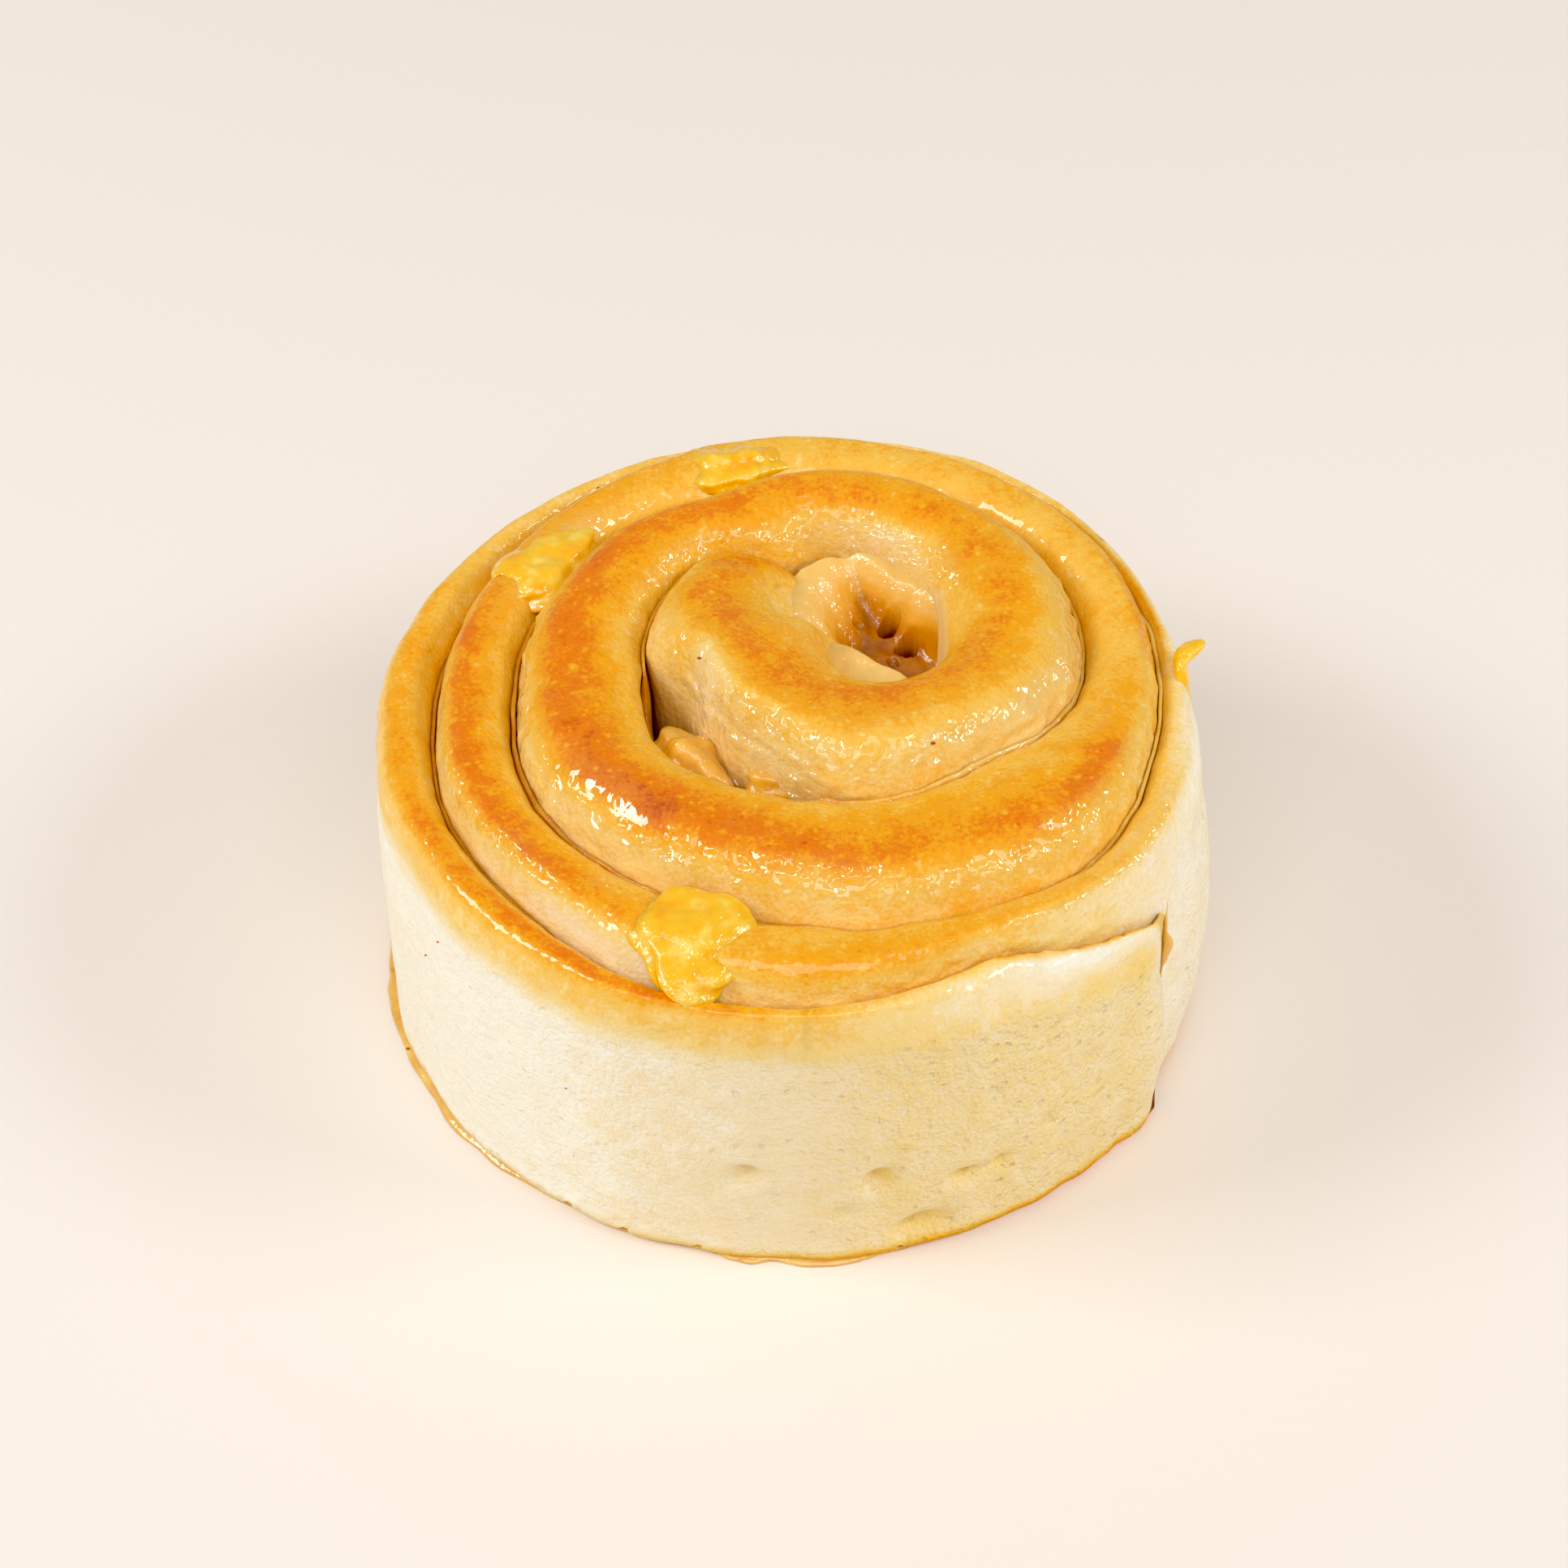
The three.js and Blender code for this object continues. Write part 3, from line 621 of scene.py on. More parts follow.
def side_relief(where, grid):
    """Relief of the bun's side: creases, folds, a small flap, the torn top and the dents."""
    bearing, high, wall = where["angle"] % TURN, where["high"], side_wall(where)
    upright = np.stack([np.radians(bearing) * SIDE_REACH, high * 0.35, 0 * bearing], -1)
    creases = 0.2 * grain(upright, 3.0, 9.0) + 0.1 * grain(upright, 1.9, 6.0)
    relief = wall * round_side(where["angle"], SIDE_CREASES) * creases
    leaned = bearing + 0.08 * (high - 20)
    for at, reach, depth in FOLDS:
        relief = relief - wall * depth * hump(leaned, at, reach) * smooth(high, 2, 8)
    flap = hump(bearing, 268.6, 1.1) - 0.8 * hump(bearing, 271.4, 1.0)
    relief = relief + 0.6 * flap * hump(high, 35, 2.2) * where["side"] * (where["width"] > 0.5)
    rough = hump(where["angle"], *ROUGH_PATCH) * smooth(high, 22, 28) * where["side"]
    relief = relief + rough * (0.3 * grain(grid, 2.2, 40.0) + 0.25 * grain(grid, 0.9, 43.0))
    return relief - side_dents(where)


def grid_normals(grid):
    """Outward normals of a swept grid."""
    around = np.roll(grid, -1, 1) - np.roll(grid, 1, 1)
    normal = np.cross(around, np.gradient(grid, axis=0))
    return normal / np.maximum(np.linalg.norm(normal, axis=-1, keepdims=True), 1e-9)


def dough_roll(material):
    angles = strip_angles(ROWS)
    grid, where = dough_grid(angles)
    kept = smooth(where["angle"], LOOSE_END, LOOSE_END - 4) * smooth(where["angle"], TIP, TIP + 4)
    moved = (skin_relief(where, grid) + side_relief(where, grid)) * kept
    flat = (where["stretch"] == 4) | (where["high"] < 0.3)
    grid = grid + grid_normals(grid) * np.where(flat, 0, moved)[..., None]
    grid[..., 2] = grid[..., 2].clip(0)
    glaze, ripple = wetness(where)
    crumb = side_wall(where) * round_side(where["angle"], SIDE_CRUMB)
    # The colour layers hold painted light with the dough's own colour: painted shade on the side, in dents,
    # seams and the eye, painted highlight in pale patches
    layers = [("bake_and_painted_light", browning_and_painted_light(where)), ("syrup_and_shade", syrup_and_shade_tint(where)), ("glaze", glaze), ("ripple", ripple),
              ("side", crumb)]
    piece = swept_piece("baked_dough_roll", grid, material, layers)
    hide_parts("dough_roll")
    return piece


# Filling

LAYER_FOOT, LAYER_ROWS, LAYER_SIDE = 1.2, 560, 22
# How far it stands above the groove, how far it spreads there, and how low it lies in the pocket
FILLET_HIGH, FILLET_END_HIGH, FILLET_SPREAD, POCKET_SINKS = 0.75, 0.3, 0.85, 5.8


def filling_layer(material):
    angles = np.linspace(TIP + 24, SEAM_LAST, LAYER_ROWS)
    groove = groove_height(angles)
    along = np.stack([seam_length(angles), 0 * angles], -1)
    fillet = mix(FILLET_HIGH + 0.4 * grain(along, 5, 17.0), FILLET_END_HIGH,
                 smooth(angles, SEAM_LAST - 110, SEAM_LAST - 50))
    top = groove + fillet - POCKET_SINKS * smooth(angles, 194, 202) * (1 - smooth(angles, 254, 264))
    top = np.minimum(top, crown_height(angles) - 0.5)
    top = top - 3.0 * smooth(angles, SEAM_LAST - 12, SEAM_LAST)
    shares = np.concatenate([np.linspace(0, 1, LAYER_SIDE), np.linspace(1, 0, LAYER_SIDE)])
    sides = np.repeat([-1.0, 1.0], LAYER_SIDE)
    high = mix(LAYER_FOOT, column(top), shares[None, :])
    closing = column(pinched(angles)) * leaning_together(high, column(groove), column(angles))
    half = column(half_gap(angles)) - closing + (high - column(groove)).clip(0) * FILLET_SPREAD
    out = (half - 0.01) * sides[None, :] * np.sqrt(np.clip(1 - (2 * shares - 1) ** 16, 0.05, 1))
    grid = on_plan(seam_point(angles, 0), outward(angles), out, high)
    at_right = smooth(np.cos(np.radians(angles)), -0.2, 0.6)
    depth = 0 * high + column(mix(0.4, 0.1, at_right))
    piece = swept_piece("apple_filling_between_turns", grid, material, [("depth", depth)])
    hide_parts("apple_filling_layer")
    return piece


def shaped_ball(detail, shape, bm=None):
    """A fine ball whose vertices a function moves: it gets and gives arrays of points."""
    bm = bm or bmesh.new()
    made = bmesh.ops.create_icosphere(bm, subdivisions=detail, radius=1)["verts"]
    place = shape(np.array([v.co[:] for v in made]))
    for vertex, point in zip(made, place):
        vertex.co = point
    return bm


EYE_FILL_FOOT, EYE_FILL_TOP = 0.9, 33.4
EYE_FILL_HALF = np.array([10.4, 12.4])
EYE_FILL_LEFT = 1.0
# The filling climbs the wall behind it and the tongue beside it: way, where it starts and ends, how far up
EYE_CLIMBS = [
    ((0.65, 0.76), 4.8, 8.6, 6.0), ((-0.83, 0.3), -0.2, 7.0, 6.6), ((-0.6, -0.8), 1.0, 5.0, 7.0),
]
# Holes in it, painted dark inside as shade: middle, reach, depth
EYE_HOLES = [
    ((2.7, 5.2), 1.05, 5.0), ((5.0, 2.4), 1.15, 4.6), ((-0.6, 5.2), 0.45, 0.9), ((3.4, 0.4), 0.6, 0.8),
]


def eye_surface(away):
    """Height of the filling's top above its lowest level, and the painted shade at each point: darker in the
    holes and the low parts.
    """
    flat = np.column_stack([away, 0 * away[:, 0]])
    bent = away + 0.5 * np.column_stack([grain(flat, 4.0, 1.0), grain(flat, 4.0, 8.0)])
    climbs = [np.exp(up * smooth(bent @ np.array(way), start, end)) for way, start, end, up in EYE_CLIMBS]
    rise = np.log(sum(climbs) - len(climbs) + 1)
    rise = rise + 0.8 * grain(flat, 3.4, 2.2) + 0.22 * grain(flat, 1.5, 6.1)
    # Painted shade: darker where the filling lies low
    painted_shade = 0.62 * (1 - smooth(rise, 0.0, 6.0))
    for spot, reach, depth in EYE_HOLES:
        far = np.linalg.norm(bent - np.array(spot), axis=1)
        pit = 1 - smooth(far, reach * 0.65, reach * 1.2)
        rise = rise - depth * pit
        # and darker in each hole
        painted_shade = np.maximum(painted_shade, pit * min(1, depth / 4))
    return rise, painted_shade


def eye_filling(material):
    middle, half = (EYE_FILL_FOOT + EYE_FILL_TOP) / 2, (EYE_FILL_TOP - EYE_FILL_FOOT) / 2
    painted_eye_shade = []

    def shape(ball):
        height = np.sign(ball[:, 2]) * np.minimum(1, np.abs(ball[:, 2]) * 2.8)
        away = ball[:, :2] * EYE_FILL_HALF * mix(0.7, 1, smooth(height, 0.3, 0.9))[:, None]
        away[:, 0] *= np.where(ball[:, 0] < 0, EYE_FILL_LEFT, 1)
        rise, painted_shade = eye_surface(away)
        painted_eye_shade.append(painted_shade)
        tall = middle + half * height + rise * np.clip(height, 0, 1) ** 2
        return np.column_stack([EYE + away - MIDDLE, tall])

    bm = shaped_ball(7, shape)
    # Its depth attribute is the painted shade of the holes and low parts
    piece = finish_mesh(bm, "apple_filling_in_eye", material, [("depth", painted_eye_shade[0])])
    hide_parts("apple_filling_eye")
    return piece


# Apple pieces: node, middle, half sizes, turned about z, tipped about x, roughness of the skin
APPLE_PIECES = [
    ("apple_piece_front", (-10.2, -35.9, 39.0), (6.2, 5.8, 1.8), -90, 14, 0.5),
    ("apple_piece_back_left", (-27.0, 19.2, 39.7), (8.0, 4.4, 2.0), 58, 0, 0.6),
    ("apple_piece_back", (-6.6, 34.6, 40.9), (5.6, 3.8, 1.9), 12, 0, 0.6),
]
POCKET_PIECES = [
    ("apple_piece_pocket_left", (-11.0, -8.0, 35.4), (5.4, 3.4, 4.0), -50, 0, 0.8),
    ("apple_piece_pocket_front", (-1.2, -11.8, 36.9), (4.4, 2.4, 2.4), -16, 0, 0.5),
]


def apple_piece(name, at, size, turned, tipped, uneven, material):
    def shape(ball):
        bearing = np.arctan2(ball[:, 1], ball[:, 0])
        reach = 1 + 0.12 * np.hypot(ball[:, 0], ball[:, 1]) * np.cos(3 * bearing)
        skin = 1 + 0.06 * (np.sin(7 * ball[:, 0] + at[0]) + np.sin(6 * ball[:, 1] + 5 * ball[:, 2] + at[1]))
        place = ball * np.array(size) * skin[:, None]
        place[:, :2] *= reach[:, None]
        rough = 0.45 * grain(place, 2.4, at[0]) + 0.22 * grain(place, 1.0, at[1])
        place += ball * (uneven * rough)[:, None]
        place = turned_points(turned_points(place, turned), tipped, (1, 2))
        return place + np.array(at) - np.append(MIDDLE, 0)

    bm = shaped_ball(6, shape)
    none = np.zeros(len(bm.verts))
    piece = finish_mesh(bm, name.replace("piece", "chunk"), material, [("depth", none + 0.16)])
    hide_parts(name)
    return piece


SHRED_ROUTE = [(42.2, 0.2, 35.6), (41.4, 2.2, 38.6), (41.4, 3.8, 40.6), (43.8, 5.0, 41.8)]


def apple_shred(material):
    knots = np.array(SHRED_ROUTE)
    knots = np.vstack([2 * knots[0] - knots[1], knots, 2 * knots[-1] - knots[-2]])

    def route(share):
        place = np.clip(share, 0, 1) * 3
        index = np.minimum(place.astype(int), 2)
        t = (place - index)[:, None]
        a, b, c, d = (knots[index + k] for k in range(4))
        return 0.5 * (2 * b + (c - a) * t + (2 * a - 5 * b + 4 * c - d) * t ** 2
                      + (3 * b - a - 3 * c + d) * t ** 3)

    def shape(ball):
        share = (ball[:, 0] + 1) / 2
        along = route(share + 0.01) - route(share - 0.01)
        along /= np.linalg.norm(along, axis=1)[:, None]
        side = np.cross([0, 1, 0], along)
        side /= np.linalg.norm(side, axis=1)[:, None]
        width = np.cross(side, along)
        place = route(share) + width * ball[:, 1:2] * 1.5 + side * ball[:, 2:] * 0.8
        place += ball * (0.16 * grain(place, 0.9, 2.2))[:, None]
        return place - np.append(MIDDLE, 0)

    piece = finish_mesh(shaped_ball(5, shape), "apple_peel_shred", material)
    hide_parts("apple_shred_right")
    return piece


# Syrup that ran down and caramelised round the foot: bearing, how far it stands out
SYRUP_REACH = [
    (-32, 0.1), (0, 0.3), (40, 0.5), (90, 0.5), (140, 0.6), (175, 0.8), (188, 1.2), (200, 0.8), (212, 1.1),
    (224, 0.6), (234, 0.1), (240, -0.4), (258, -0.4), (262, 0.6), (264, 0.9), (267, 0.3), (271, 0.9),
    (278, 0.7), (283, 0.0), (287, -0.4), (328, -0.4),
]
# Its section: out from the dough, height
SYRUP_SECTION = [
    (-1.0, 0.03), (0.6, 0.0), (1.0, 0.1), (0.9, 0.28), (0.6, 0.45), (0.2, 0.6), (-0.25, 0.8), (-1.0, 0.9),
]


def syrup_rim(material):
    first, last = SEAM_LAST + 12, LOOSE_END - 1
    angles = np.linspace(first, last, 900)
    ends = smooth(angles, first, first + 10) * (1 - smooth(angles, last - 10, last))
    along = np.stack([seam_length(angles), 0 * angles], -1)
    uneven = 1 + 0.4 * grain(along, 7, 21.0) + 0.2 * grain(along, 3, 23.0)
    reach = column(keyed(angles - 3 * TURN, SYRUP_REACH) * uneven * ends)
    wide, tall = np.array(SYRUP_SECTION).T
    out = np.where(wide > 0, reach * wide, wide)
    high = np.where(tall > 0.1, tall * (0.45 + 0.55 * reach.clip(0, 1.3)), tall)
    grid = on_plan(seam_point(angles, 0.1), outward(angles), out, high + 0.01)
    piece = swept_piece("caramelised_syrup_rim", grid, material, [])
    return piece


# Filling squeezed out of the seam on the bun's right: height, how thick it is
SEAM_BEAD = [
    (2.0, 0.15), (6, 0.4), (11, 0.45), (14, 0.3), (17, 0.1), (21, 0.1), (23, 0.4), (25.5, 0.5), (27, 0.14),
    (31.5, 0.06),
]
BEAD_MIDDLE, BEAD_HALF, BEAD_THICK = 16.8, 15.0, 1.2


def seam_bead(material):
    """A thin uneven strand of filling that stands out of the upright seam."""
    def shape(ball):
        high = BEAD_MIDDLE + BEAD_HALF * ball[:, 2]
        uneven = 1 + 0.4 * grain(ball * [1, 1, BEAD_HALF], 2.0, 31.0)
        thick = BEAD_THICK * keyed(high, SEAM_BEAD) * uneven
        round_end = np.sqrt(np.clip(1 - ball[:, 2] ** 6, 0.02, 1))
        flat = ball[:, :2] / np.maximum(np.hypot(ball[:, 0], ball[:, 1]), 1e-3)[:, None]
        at = seam_point(np.full(1, SEAM_LAST + 0.9), np.full(1, 0.05))[0] - MIDDLE
        lean = outward(np.array(float(SEAM_LAST))) * column(0.6 * thick)
        return np.column_stack([at + lean + flat * column(thick * round_end), high])

    bm = shaped_ball(6, shape)
    depth = np.full(len(bm.verts), 0.25)
    piece = finish_mesh(bm, "filling_squeezed_from_seam", material, [("depth", depth)])
    return piece


# Burnt crumbs on the crust: place, half size
BURNT_CRUMBS = [
    ((-36.5, -25.7, 28.4), 0.22), ((-23.1, -38.5, 20.2), 0.2), ((-14.2, -42.7, 12.7), 0.3),
    ((11.1, -43.8, 17.7), 0.16), ((-9.6, -1.9, 46.2), 0.3), ((-0.5, -1.5, 45.7), 0.42),
    ((14.5, -12.7, 44.4), 0.34), ((-22.0, 36.0, 37.3), 0.3), ((-29.5, -29.3, 37.5), 0.28),
    ((-42.1, -17.2, 1.8), 0.3), ((-38.3, -23.1, 23.5), 0.18),
]


def burnt_crumbs(material):
    """Small dark crumbs, half sunk in the crust."""
    bm = bmesh.new()
    for index, (at, half) in enumerate(BURNT_CRUMBS):
        def shape(ball):
            ball = 0.75 * half * ball
            return ball * column(1 + 0.35 * grain(ball, half, index + 3.0)) * [1.1, 0.8, 0.3] + np.array(at)

        shaped_ball(3, shape, bm)
    piece = finish_mesh(bm, "burnt_crumbs", material)
    return piece


# Materials

def linear(code):
    """An sRGB hex colour as the linear colour that a shader takes."""
    parts = [int(code[i:i + 2], 16) / 255 for i in (1, 3, 5)]
    return tuple(p / 12.92 if p <= 0.04045 else ((p + 0.055) / 1.055) ** 2.4 for p in parts) + (1.0,)


def add_node(tree, kind, settings=None, inputs=None, links=None):
    """Adds a node, sets its properties and sockets, and links sockets of it to others."""
    node = tree.nodes.new(kind)
    for key, value in (settings or {}).items():
        setattr(node, key, value)
    for key, value in (inputs or {}).items():
        node.inputs[key].default_value = value
    for key, source in (links or {}).items():
        tree.links.new(source, node.inputs[key])
    return node


def new_material(name):
    material = bpy.data.materials.new(name)
    material.use_nodes = True
    tree = material.node_tree
    tree.nodes.clear()
    shader = add_node(tree, "ShaderNodeBsdfPrincipled")
    add_node(tree, "ShaderNodeOutputMaterial", links={"Surface": shader.outputs[0]})
    coords = add_node(tree, "ShaderNodeTexCoord").outputs["Object"]
    return material, tree, shader, coords


def lumps(tree, coords, size_mm, detail=2.0, offset=(0, 0, 0)):
    """Noise from 0 to 1 whose lumps are about that many millimetres across."""
    moved = add_node(tree, "ShaderNodeMapping", inputs={"Location": offset}, links={"Vector": coords})
    return add_node(tree, "ShaderNodeTexNoise", inputs={"Scale": 1 / (size_mm * MM), "Detail": detail},
                    links={"Vector": moved.outputs[0]}).outputs["Fac"]


def calc(tree, kind, one, other=None, third=None, clamp=False):
    """One step of arithmetic on sockets or numbers."""
    node = tree.nodes.new("ShaderNodeMath")
    node.operation = kind
    node.use_clamp = clamp
    for index, value in enumerate((one, other, third)):
        if value is None:
            continue
        if isinstance(value, (int, float)):
            node.inputs[index].default_value = value
        else:
            tree.links.new(value, node.inputs[index])
    return node.outputs[0]


def ramp(tree, value, stops):
    node = add_node(tree, "ShaderNodeValToRGB", links={"Fac": value})
    node.color_ramp.interpolation = "EASE"
    elements = node.color_ramp.elements
    while len(elements) < len(stops):
        elements.new(0.5)
    for element, (place, code) in zip(elements, stops):
        element.position = place
        element.color = linear(code)
    return node.outputs["Color"]


def attribute(tree, name):
    return add_node(tree, "ShaderNodeAttribute", {"attribute_name": name}).outputs["Fac"]


def spots(tree, coords, size_mm, share, offset):
    """Round spots in a few of the cells of that size, 1 in the middle of a spot."""
    moved = add_node(tree, "ShaderNodeMapping", inputs={"Location": offset}, links={"Vector": coords})
    cells = add_node(tree, "ShaderNodeTexVoronoi", inputs={"Scale": 1 / (size_mm * MM)},
                     links={"Vector": moved.outputs[0]})
    near = calc(tree, "MULTIPLY_ADD", cells.outputs["Distance"], -3.4, 1.15, clamp=True)
    chosen = add_node(tree, "ShaderNodeSeparateColor", links={"Color": cells.outputs["Color"]}).outputs["Red"]
    kept = calc(tree, "LESS_THAN", chosen, share)
    return calc(tree, "MULTIPLY", near, kept)


def crust_colour(tree, coords, bake_and_painted_light, syrup_and_shade, side, grains):
    """Colour from how far each point is baked and tinted amber, with pale blisters and darker pins; both
    values hold painted shade and painted highlight besides the crust's own colour.
    """
    broad, middle, fine = grains
    uneven = calc(tree, "MULTIPLY_ADD", broad, 0.44, -0.22)
    uneven = calc(tree, "MULTIPLY_ADD", middle, 0.34, calc(tree, "SUBTRACT", uneven, 0.17))
    uneven = calc(tree, "MULTIPLY_ADD", fine, 0.4, calc(tree, "SUBTRACT", uneven, 0.2))
    blisters = calc(tree, "ADD", spots(tree, coords, 1.5, 0.34, (0.01, 0.02, 0)),
                    spots(tree, coords, 0.8, 0.3, (0, 0.02, 0.03)))
    pins = spots(tree, coords, 0.9, 0.06, (0.05, 0.01, 0))
    strength = calc(tree, "MULTIPLY_ADD", bake_and_painted_light, 0.5, 0.42)
    strength = calc(tree, "MULTIPLY", strength, calc(tree, "MULTIPLY_ADD", side, -0.45, 1.0))
    bake_tone_and_painted_light = calc(tree, "MULTIPLY_ADD", uneven, strength, bake_and_painted_light)
    bake_tone_and_painted_light = calc(tree, "MULTIPLY_ADD", blisters, calc(tree, "MULTIPLY", bake_and_painted_light, -0.22), bake_tone_and_painted_light)
    bake_tone_and_painted_light = calc(tree, "MULTIPLY_ADD", pins, calc(tree, "MULTIPLY", bake_and_painted_light, 0.2), bake_tone_and_painted_light, clamp=True)
    crust = ramp(tree, bake_tone_and_painted_light, [(0.0, "#FFFAE8"), (0.12, "#FCEAC2"), (0.28, "#FADB8C"), (0.45, "#F8C44C"),
                               (0.62, "#F5AA12"), (0.8, "#EA8000"), (1.0, "#C65200")])
    # The amber that the tint mixes in: the syrup's colour, also used as painted shade in seams and the eye
    syrup_and_shade_colour = ramp(tree, broad, [(0.3, "#E2A236"), (0.5, "#F2BE56"), (0.7, "#F8D284")])
    colour = add_node(tree, "ShaderNodeMix", {"data_type": "RGBA"})
    for index, source in ((0, syrup_and_shade), (6, crust), (7, syrup_and_shade_colour)):
        tree.links.new(source, colour.inputs[index])
    return colour.outputs[2]


def crumb_bump(tree, coords, side, grains):
    """The fine grain of the crust, stronger on the side, which has open pores too."""
    _, middle, fine = grains
    grainy = calc(tree, "MULTIPLY_ADD", fine, 0.8, calc(tree, "MULTIPLY", middle, 1.0))
    grainy = calc(tree, "MULTIPLY", grainy, calc(tree, "MULTIPLY_ADD", side, 2.0, 1.0))
    pits = calc(tree, "ADD", spots(tree, coords, 1.3, 0.22, (0.02, 0, 0.01)),
                spots(tree, coords, 2.9, 0.16, (0, 0.03, 0.01)))
    pores = calc(tree, "MULTIPLY", pits, calc(tree, "MULTIPLY", side, -2.0))
    return add_node(tree, "ShaderNodeBump", inputs={"Strength": 1.0, "Distance": 0.00016},
                    links={"Height": calc(tree, "ADD", grainy, pores)}).outputs[0]


def glaze_film(tree, shader, coords, glaze, ripple):
    """A wet coat in patches, rippled so that it breaks the light up."""
    patchy = calc(tree, "MULTIPLY_ADD", lumps(tree, coords, 2.6, 2, (0, 0, 0.04)), 1.6, -0.3, clamp=True)
    weight = calc(tree, "MULTIPLY", glaze, calc(tree, "MULTIPLY_ADD", patchy, 0.6, 0.7), clamp=True)
    tree.links.new(weight, shader.inputs["Coat Weight"])
    shader.inputs["Coat Roughness"].default_value = 0.05
    shader.inputs["Coat IOR"].default_value = 2.0
    film = calc(tree, "MULTIPLY", lumps(tree, coords, 1.7, 1.0, (0.07, 0, 0)), ripple)
    wet = add_node(tree, "ShaderNodeBump", inputs={"Strength": 1.0, "Distance": 0.0014},
                   links={"Height": film})
    tree.links.new(wet.outputs[0], shader.inputs["Coat Normal"])


# Yeast dough, baked and brushed with glaze: matt and creamy on the side, golden to brown on
# the crowns, with pale blisters in the crust and a wet film that breaks the light up
def baked_dough():
    material, tree, shader, coords = new_material("baked yeast dough, glazed")
    # The first two attributes carry painted shade and painted highlight as well as the crust's baking and
    # syrup
    names = ("bake_and_painted_light", "syrup_and_shade", "glaze", "ripple", "side")
    bake_and_painted_light, syrup_and_shade, glaze, ripple, side = (attribute(tree, name) for name in names)
    middle = lumps(tree, coords, 1.6, 3, (0.03, 0, 0))
    grains = lumps(tree, coords, 5.0, 4), middle, lumps(tree, coords, 0.45, 2, (0, 0.05, 0))
    colour = crust_colour(tree, coords, bake_and_painted_light, syrup_and_shade, side, grains)
    tree.links.new(colour, shader.inputs["Base Color"])
    rough = calc(tree, "MULTIPLY_ADD", side, 0.2, 0.5)
    tree.links.new(calc(tree, "MULTIPLY_ADD", middle, 0.1, rough), shader.inputs["Roughness"])
    shader.inputs["Specular IOR Level"].default_value = 0.25
    shader.inputs["Subsurface Weight"].default_value = 0.2
    shader.inputs["Subsurface Radius"].default_value = (0.0012, 0.0009, 0.0004)
    shader.inputs["Subsurface Scale"].default_value = 1.0
    tree.links.new(crumb_bump(tree, coords, side, grains), shader.inputs["Normal"])
    glaze_film(tree, shader, coords, glaze, ripple)
    return material


# Cooked apple filling: soft and wet, golden to brown amber as its depth attribute rises; in the eye that is
# painted shade, darker in the holes and low parts
def apple_filling():
    material, tree, shader, coords = new_material("cooked apple filling")
    tone = calc(tree, "MULTIPLY_ADD", lumps(tree, coords, 2.4, 3), 0.4, -0.2)
    # depth darkens the amber: painted shade in the eye, a given tone on the other pieces, darker towards the
    # left on the seam layer
    depth = calc(tree, "ADD", attribute(tree, "depth"), tone, clamp=True)
    amber = ramp(tree, depth, [(0.0, "#F6CC74"), (0.22, "#EEB440"), (0.48, "#D48A10"), (0.75, "#A05404"),
                               (1.0, "#6E2E02")])
    tree.links.new(amber, shader.inputs["Base Color"])
    wet_and_soft(tree, shader, coords, 0.3, (0.0015, 0.0011, 0.0004), 0.00035)
    return material


# Candied apple: clear yellow and glossy, deeper in colour where it is thick
def candied_apple():
    material, tree, shader, coords = new_material("candied apple")
    tone = lumps(tree, coords, 2.4, 3)
    yellow = ramp(tree, tone, [(0.3, "#FFB200"), (0.52, "#FFC61C"), (0.7, "#FFDA5C")])
    tree.links.new(yellow, shader.inputs["Base Color"])
    wet_and_soft(tree, shader, coords, 0.25, (0.0015, 0.0011, 0.0004), 0.00035)
    return material


def wet_and_soft(tree, shader, coords, roughness, radius, ripple, coat=0.65):
    """Sets light that goes in under a wet, slightly rippled surface."""
    settings = {"Roughness": roughness, "Subsurface Weight": 0.35, "Subsurface Radius": radius,
                "Subsurface Scale": 1.0, "Coat Weight": coat, "Coat Roughness": 0.06, "Coat IOR": 1.9}
    for key, value in settings.items():
        shader.inputs[key].default_value = value
    bump = add_node(tree, "ShaderNodeBump", inputs={"Strength": 1.0, "Distance": ripple},
                    links={"Height": lumps(tree, coords, 0.8, 1.5)})
    tree.links.new(bump.outputs[0], shader.inputs["Coat Normal"])


# Syrup caramelised round the foot: amber, thin and glossy
def caramel():
    material, tree, shader, coords = new_material("caramelised syrup")
    tone = lumps(tree, coords, 3.0, 3)
    amber = ramp(tree, tone, [(0.25, "#C87A1C"), (0.4, "#F0B048"), (0.7, "#FACB68")])
    tree.links.new(amber, shader.inputs["Base Color"])
    wet_and_soft(tree, shader, coords, 0.35, (0.0015, 0.0008, 0.0002), 0.0001)
    return material


# Burnt crumbs: nearly black brown, dull
def burnt():
    material, _, shader, _ = new_material("burnt crumb")
    shader.inputs["Base Color"].default_value = linear("#A85010")
    shader.inputs["Roughness"].default_value = 0.6
    return material


# Pale matt paper under the bun
def pale_paper():
    material, tree, shader, coords = new_material("pale matt paper")
    shader.inputs["Base Color"].default_value = linear("#F4EDE6")
    shader.inputs["Roughness"].default_value = 0.95
    shader.inputs["Specular IOR Level"].default_value = 0.1
    bump = add_node(tree, "ShaderNodeBump", inputs={"Strength": 0.4, "Distance": 0.0001},
                    links={"Height": lumps(tree, coords, 1.0, 3)})
    tree.links.new(bump.outputs[0], shader.inputs["Normal"])
    return material


# Stage, lights and camera

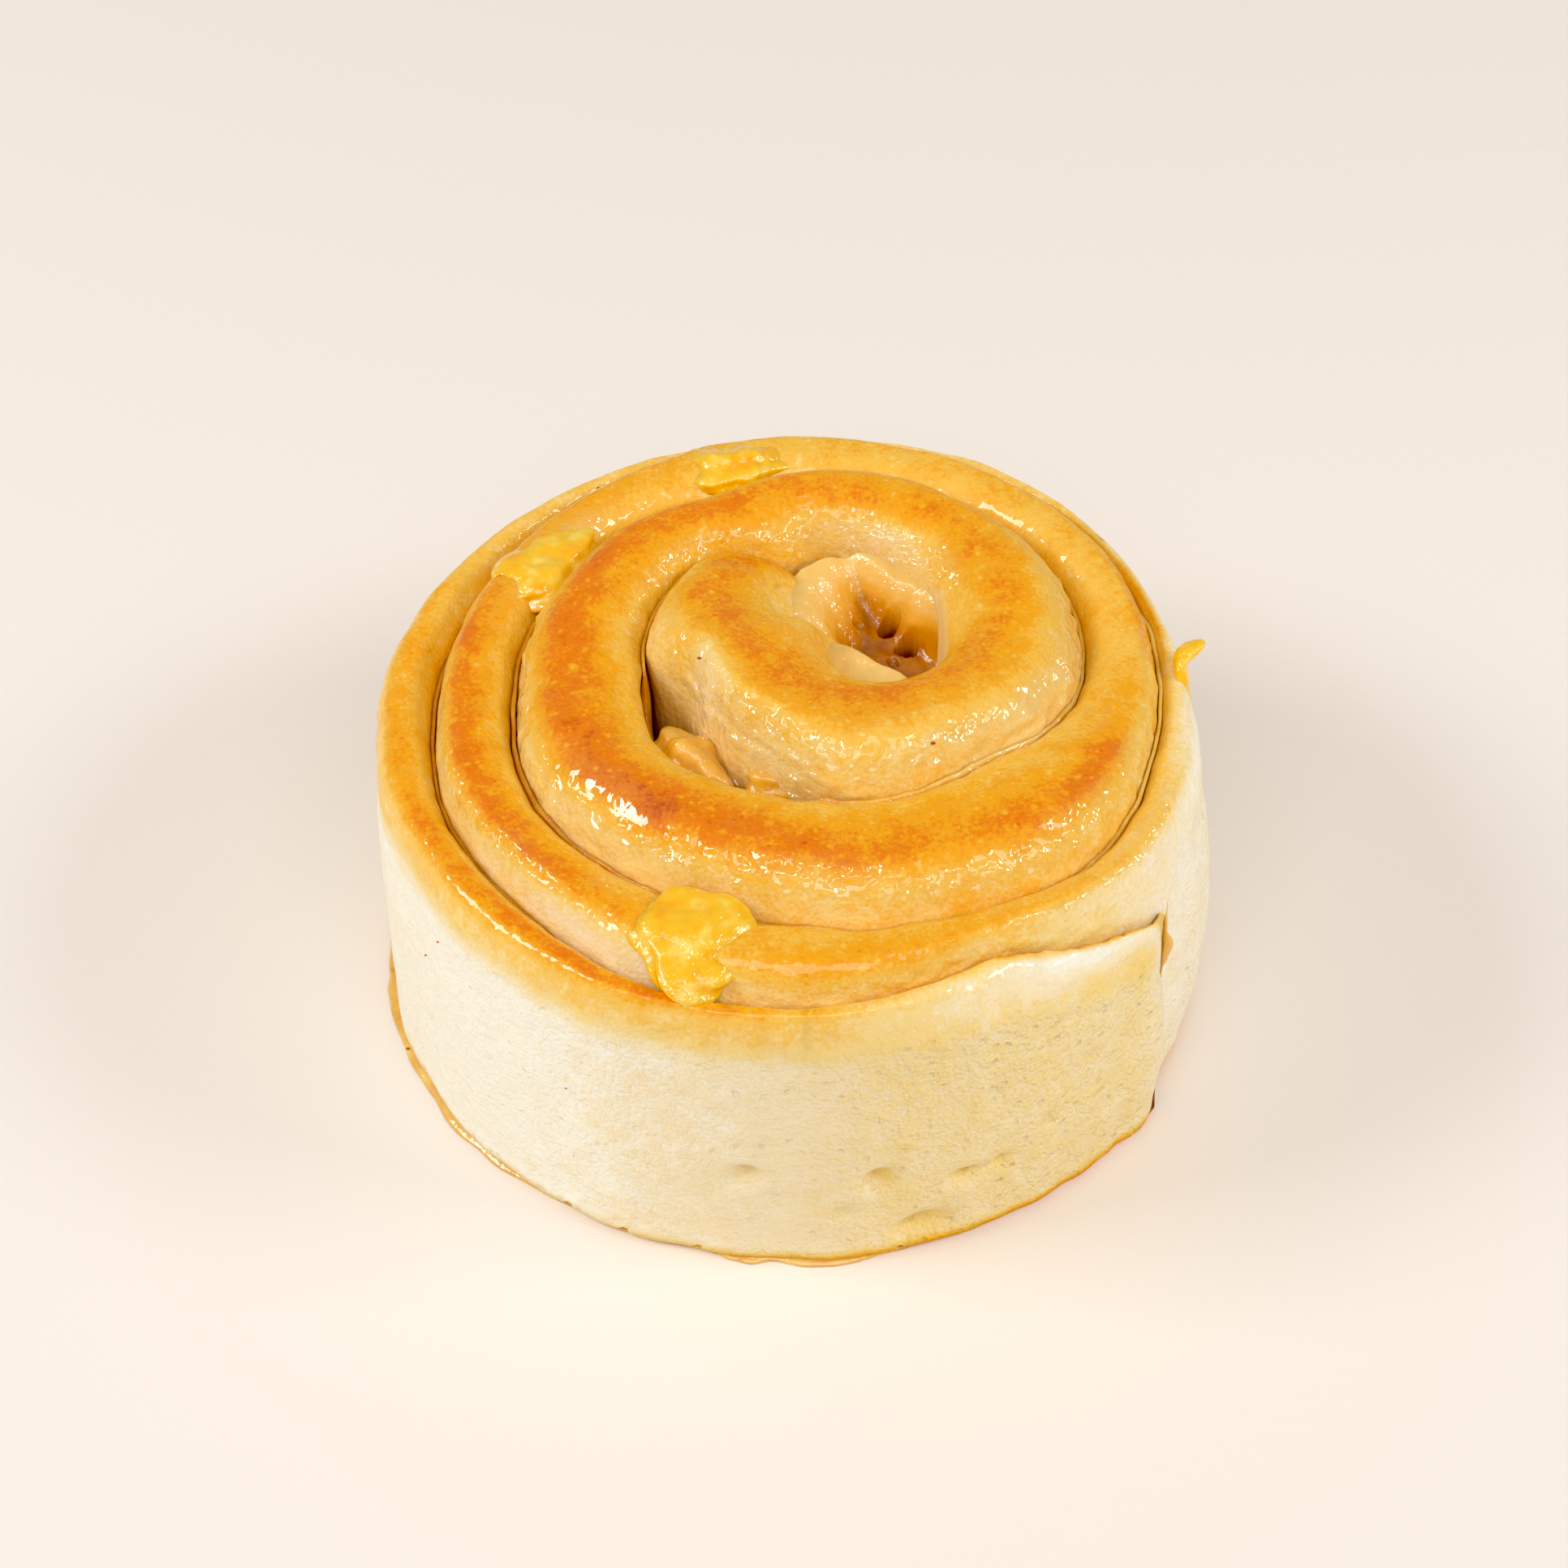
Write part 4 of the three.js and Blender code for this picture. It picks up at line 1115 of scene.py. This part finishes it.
def stage():
    bpy.ops.mesh.primitive_plane_add(size=6)
    floor = bpy.context.object
    floor.name = "floor"
    floor.data.materials.append(pale_paper())


def soft_light(name, at, aim, size, power, colour):
    lamp = bpy.data.lights.new(name, "AREA")
    lamp.shape = "RECTANGLE"
    lamp.size, lamp.size_y = size
    lamp.energy = power
    lamp.color = linear(colour)[:3]
    light = bpy.data.objects.new(name, lamp)
    light.location = at
    light.rotation_euler = (Vector(aim) - Vector(at)).to_track_quat("-Z", "Y").to_euler()
    bpy.context.scene.collection.objects.link(light)


def lighting():
    soft_light("left softbox", (-0.62, -0.06, 0.55), (0, 0, 0.03), (0.36, 0.25), 2.5, "#FFFFFF")
    soft_light("right softbox", (0.6, -0.1, 0.5), (0, 0, 0.03), (0.32, 0.21), 1.8, "#FFFFFF")
    soft_light("front softbox", (0, -1.6, 2.1), (0, 0, 0.03), (2.4, 1.6), 24.5, "#FFFFFF")
    world = bpy.data.worlds.new("studio")
    world.use_nodes = True
    world.node_tree.nodes["Background"].inputs["Color"].default_value = linear("#FFF5EA")
    world.node_tree.nodes["Background"].inputs["Strength"].default_value = 0.39
    bpy.context.scene.world = world


def camera():
    data = bpy.data.cameras.new("camera")
    data.lens = 85
    data.sensor_width = 36
    eye = bpy.data.objects.new("camera", data)
    eye.location = (-0.0008, -0.28433, 0.31007)
    eye.rotation_euler = (math.radians(45), 0, 0)
    bpy.context.scene.collection.objects.link(eye)
    bpy.context.scene.camera = eye


def main():
    scene = bpy.context.scene
    scene.view_settings.view_transform = "Standard"
    scene.view_settings.use_curve_mapping = True
    scene.view_settings.curve_mapping.black_level = (0.02, 0.02, 0.02)
    camera()
    dough = baked_dough()
    filling = apple_filling()
    apple = candied_apple()
    dough_roll(dough)
    filling_layer(filling)
    eye_filling(filling)
    for piece in APPLE_PIECES:
        apple_piece(*piece, apple)
    for piece in POCKET_PIECES:
        apple_piece(*piece, filling)
    apple_shred(apple)
    syrup_rim(caramel())
    seam_bead(filling)
    burnt_crumbs(burnt())
    stage()
    lighting()


main()
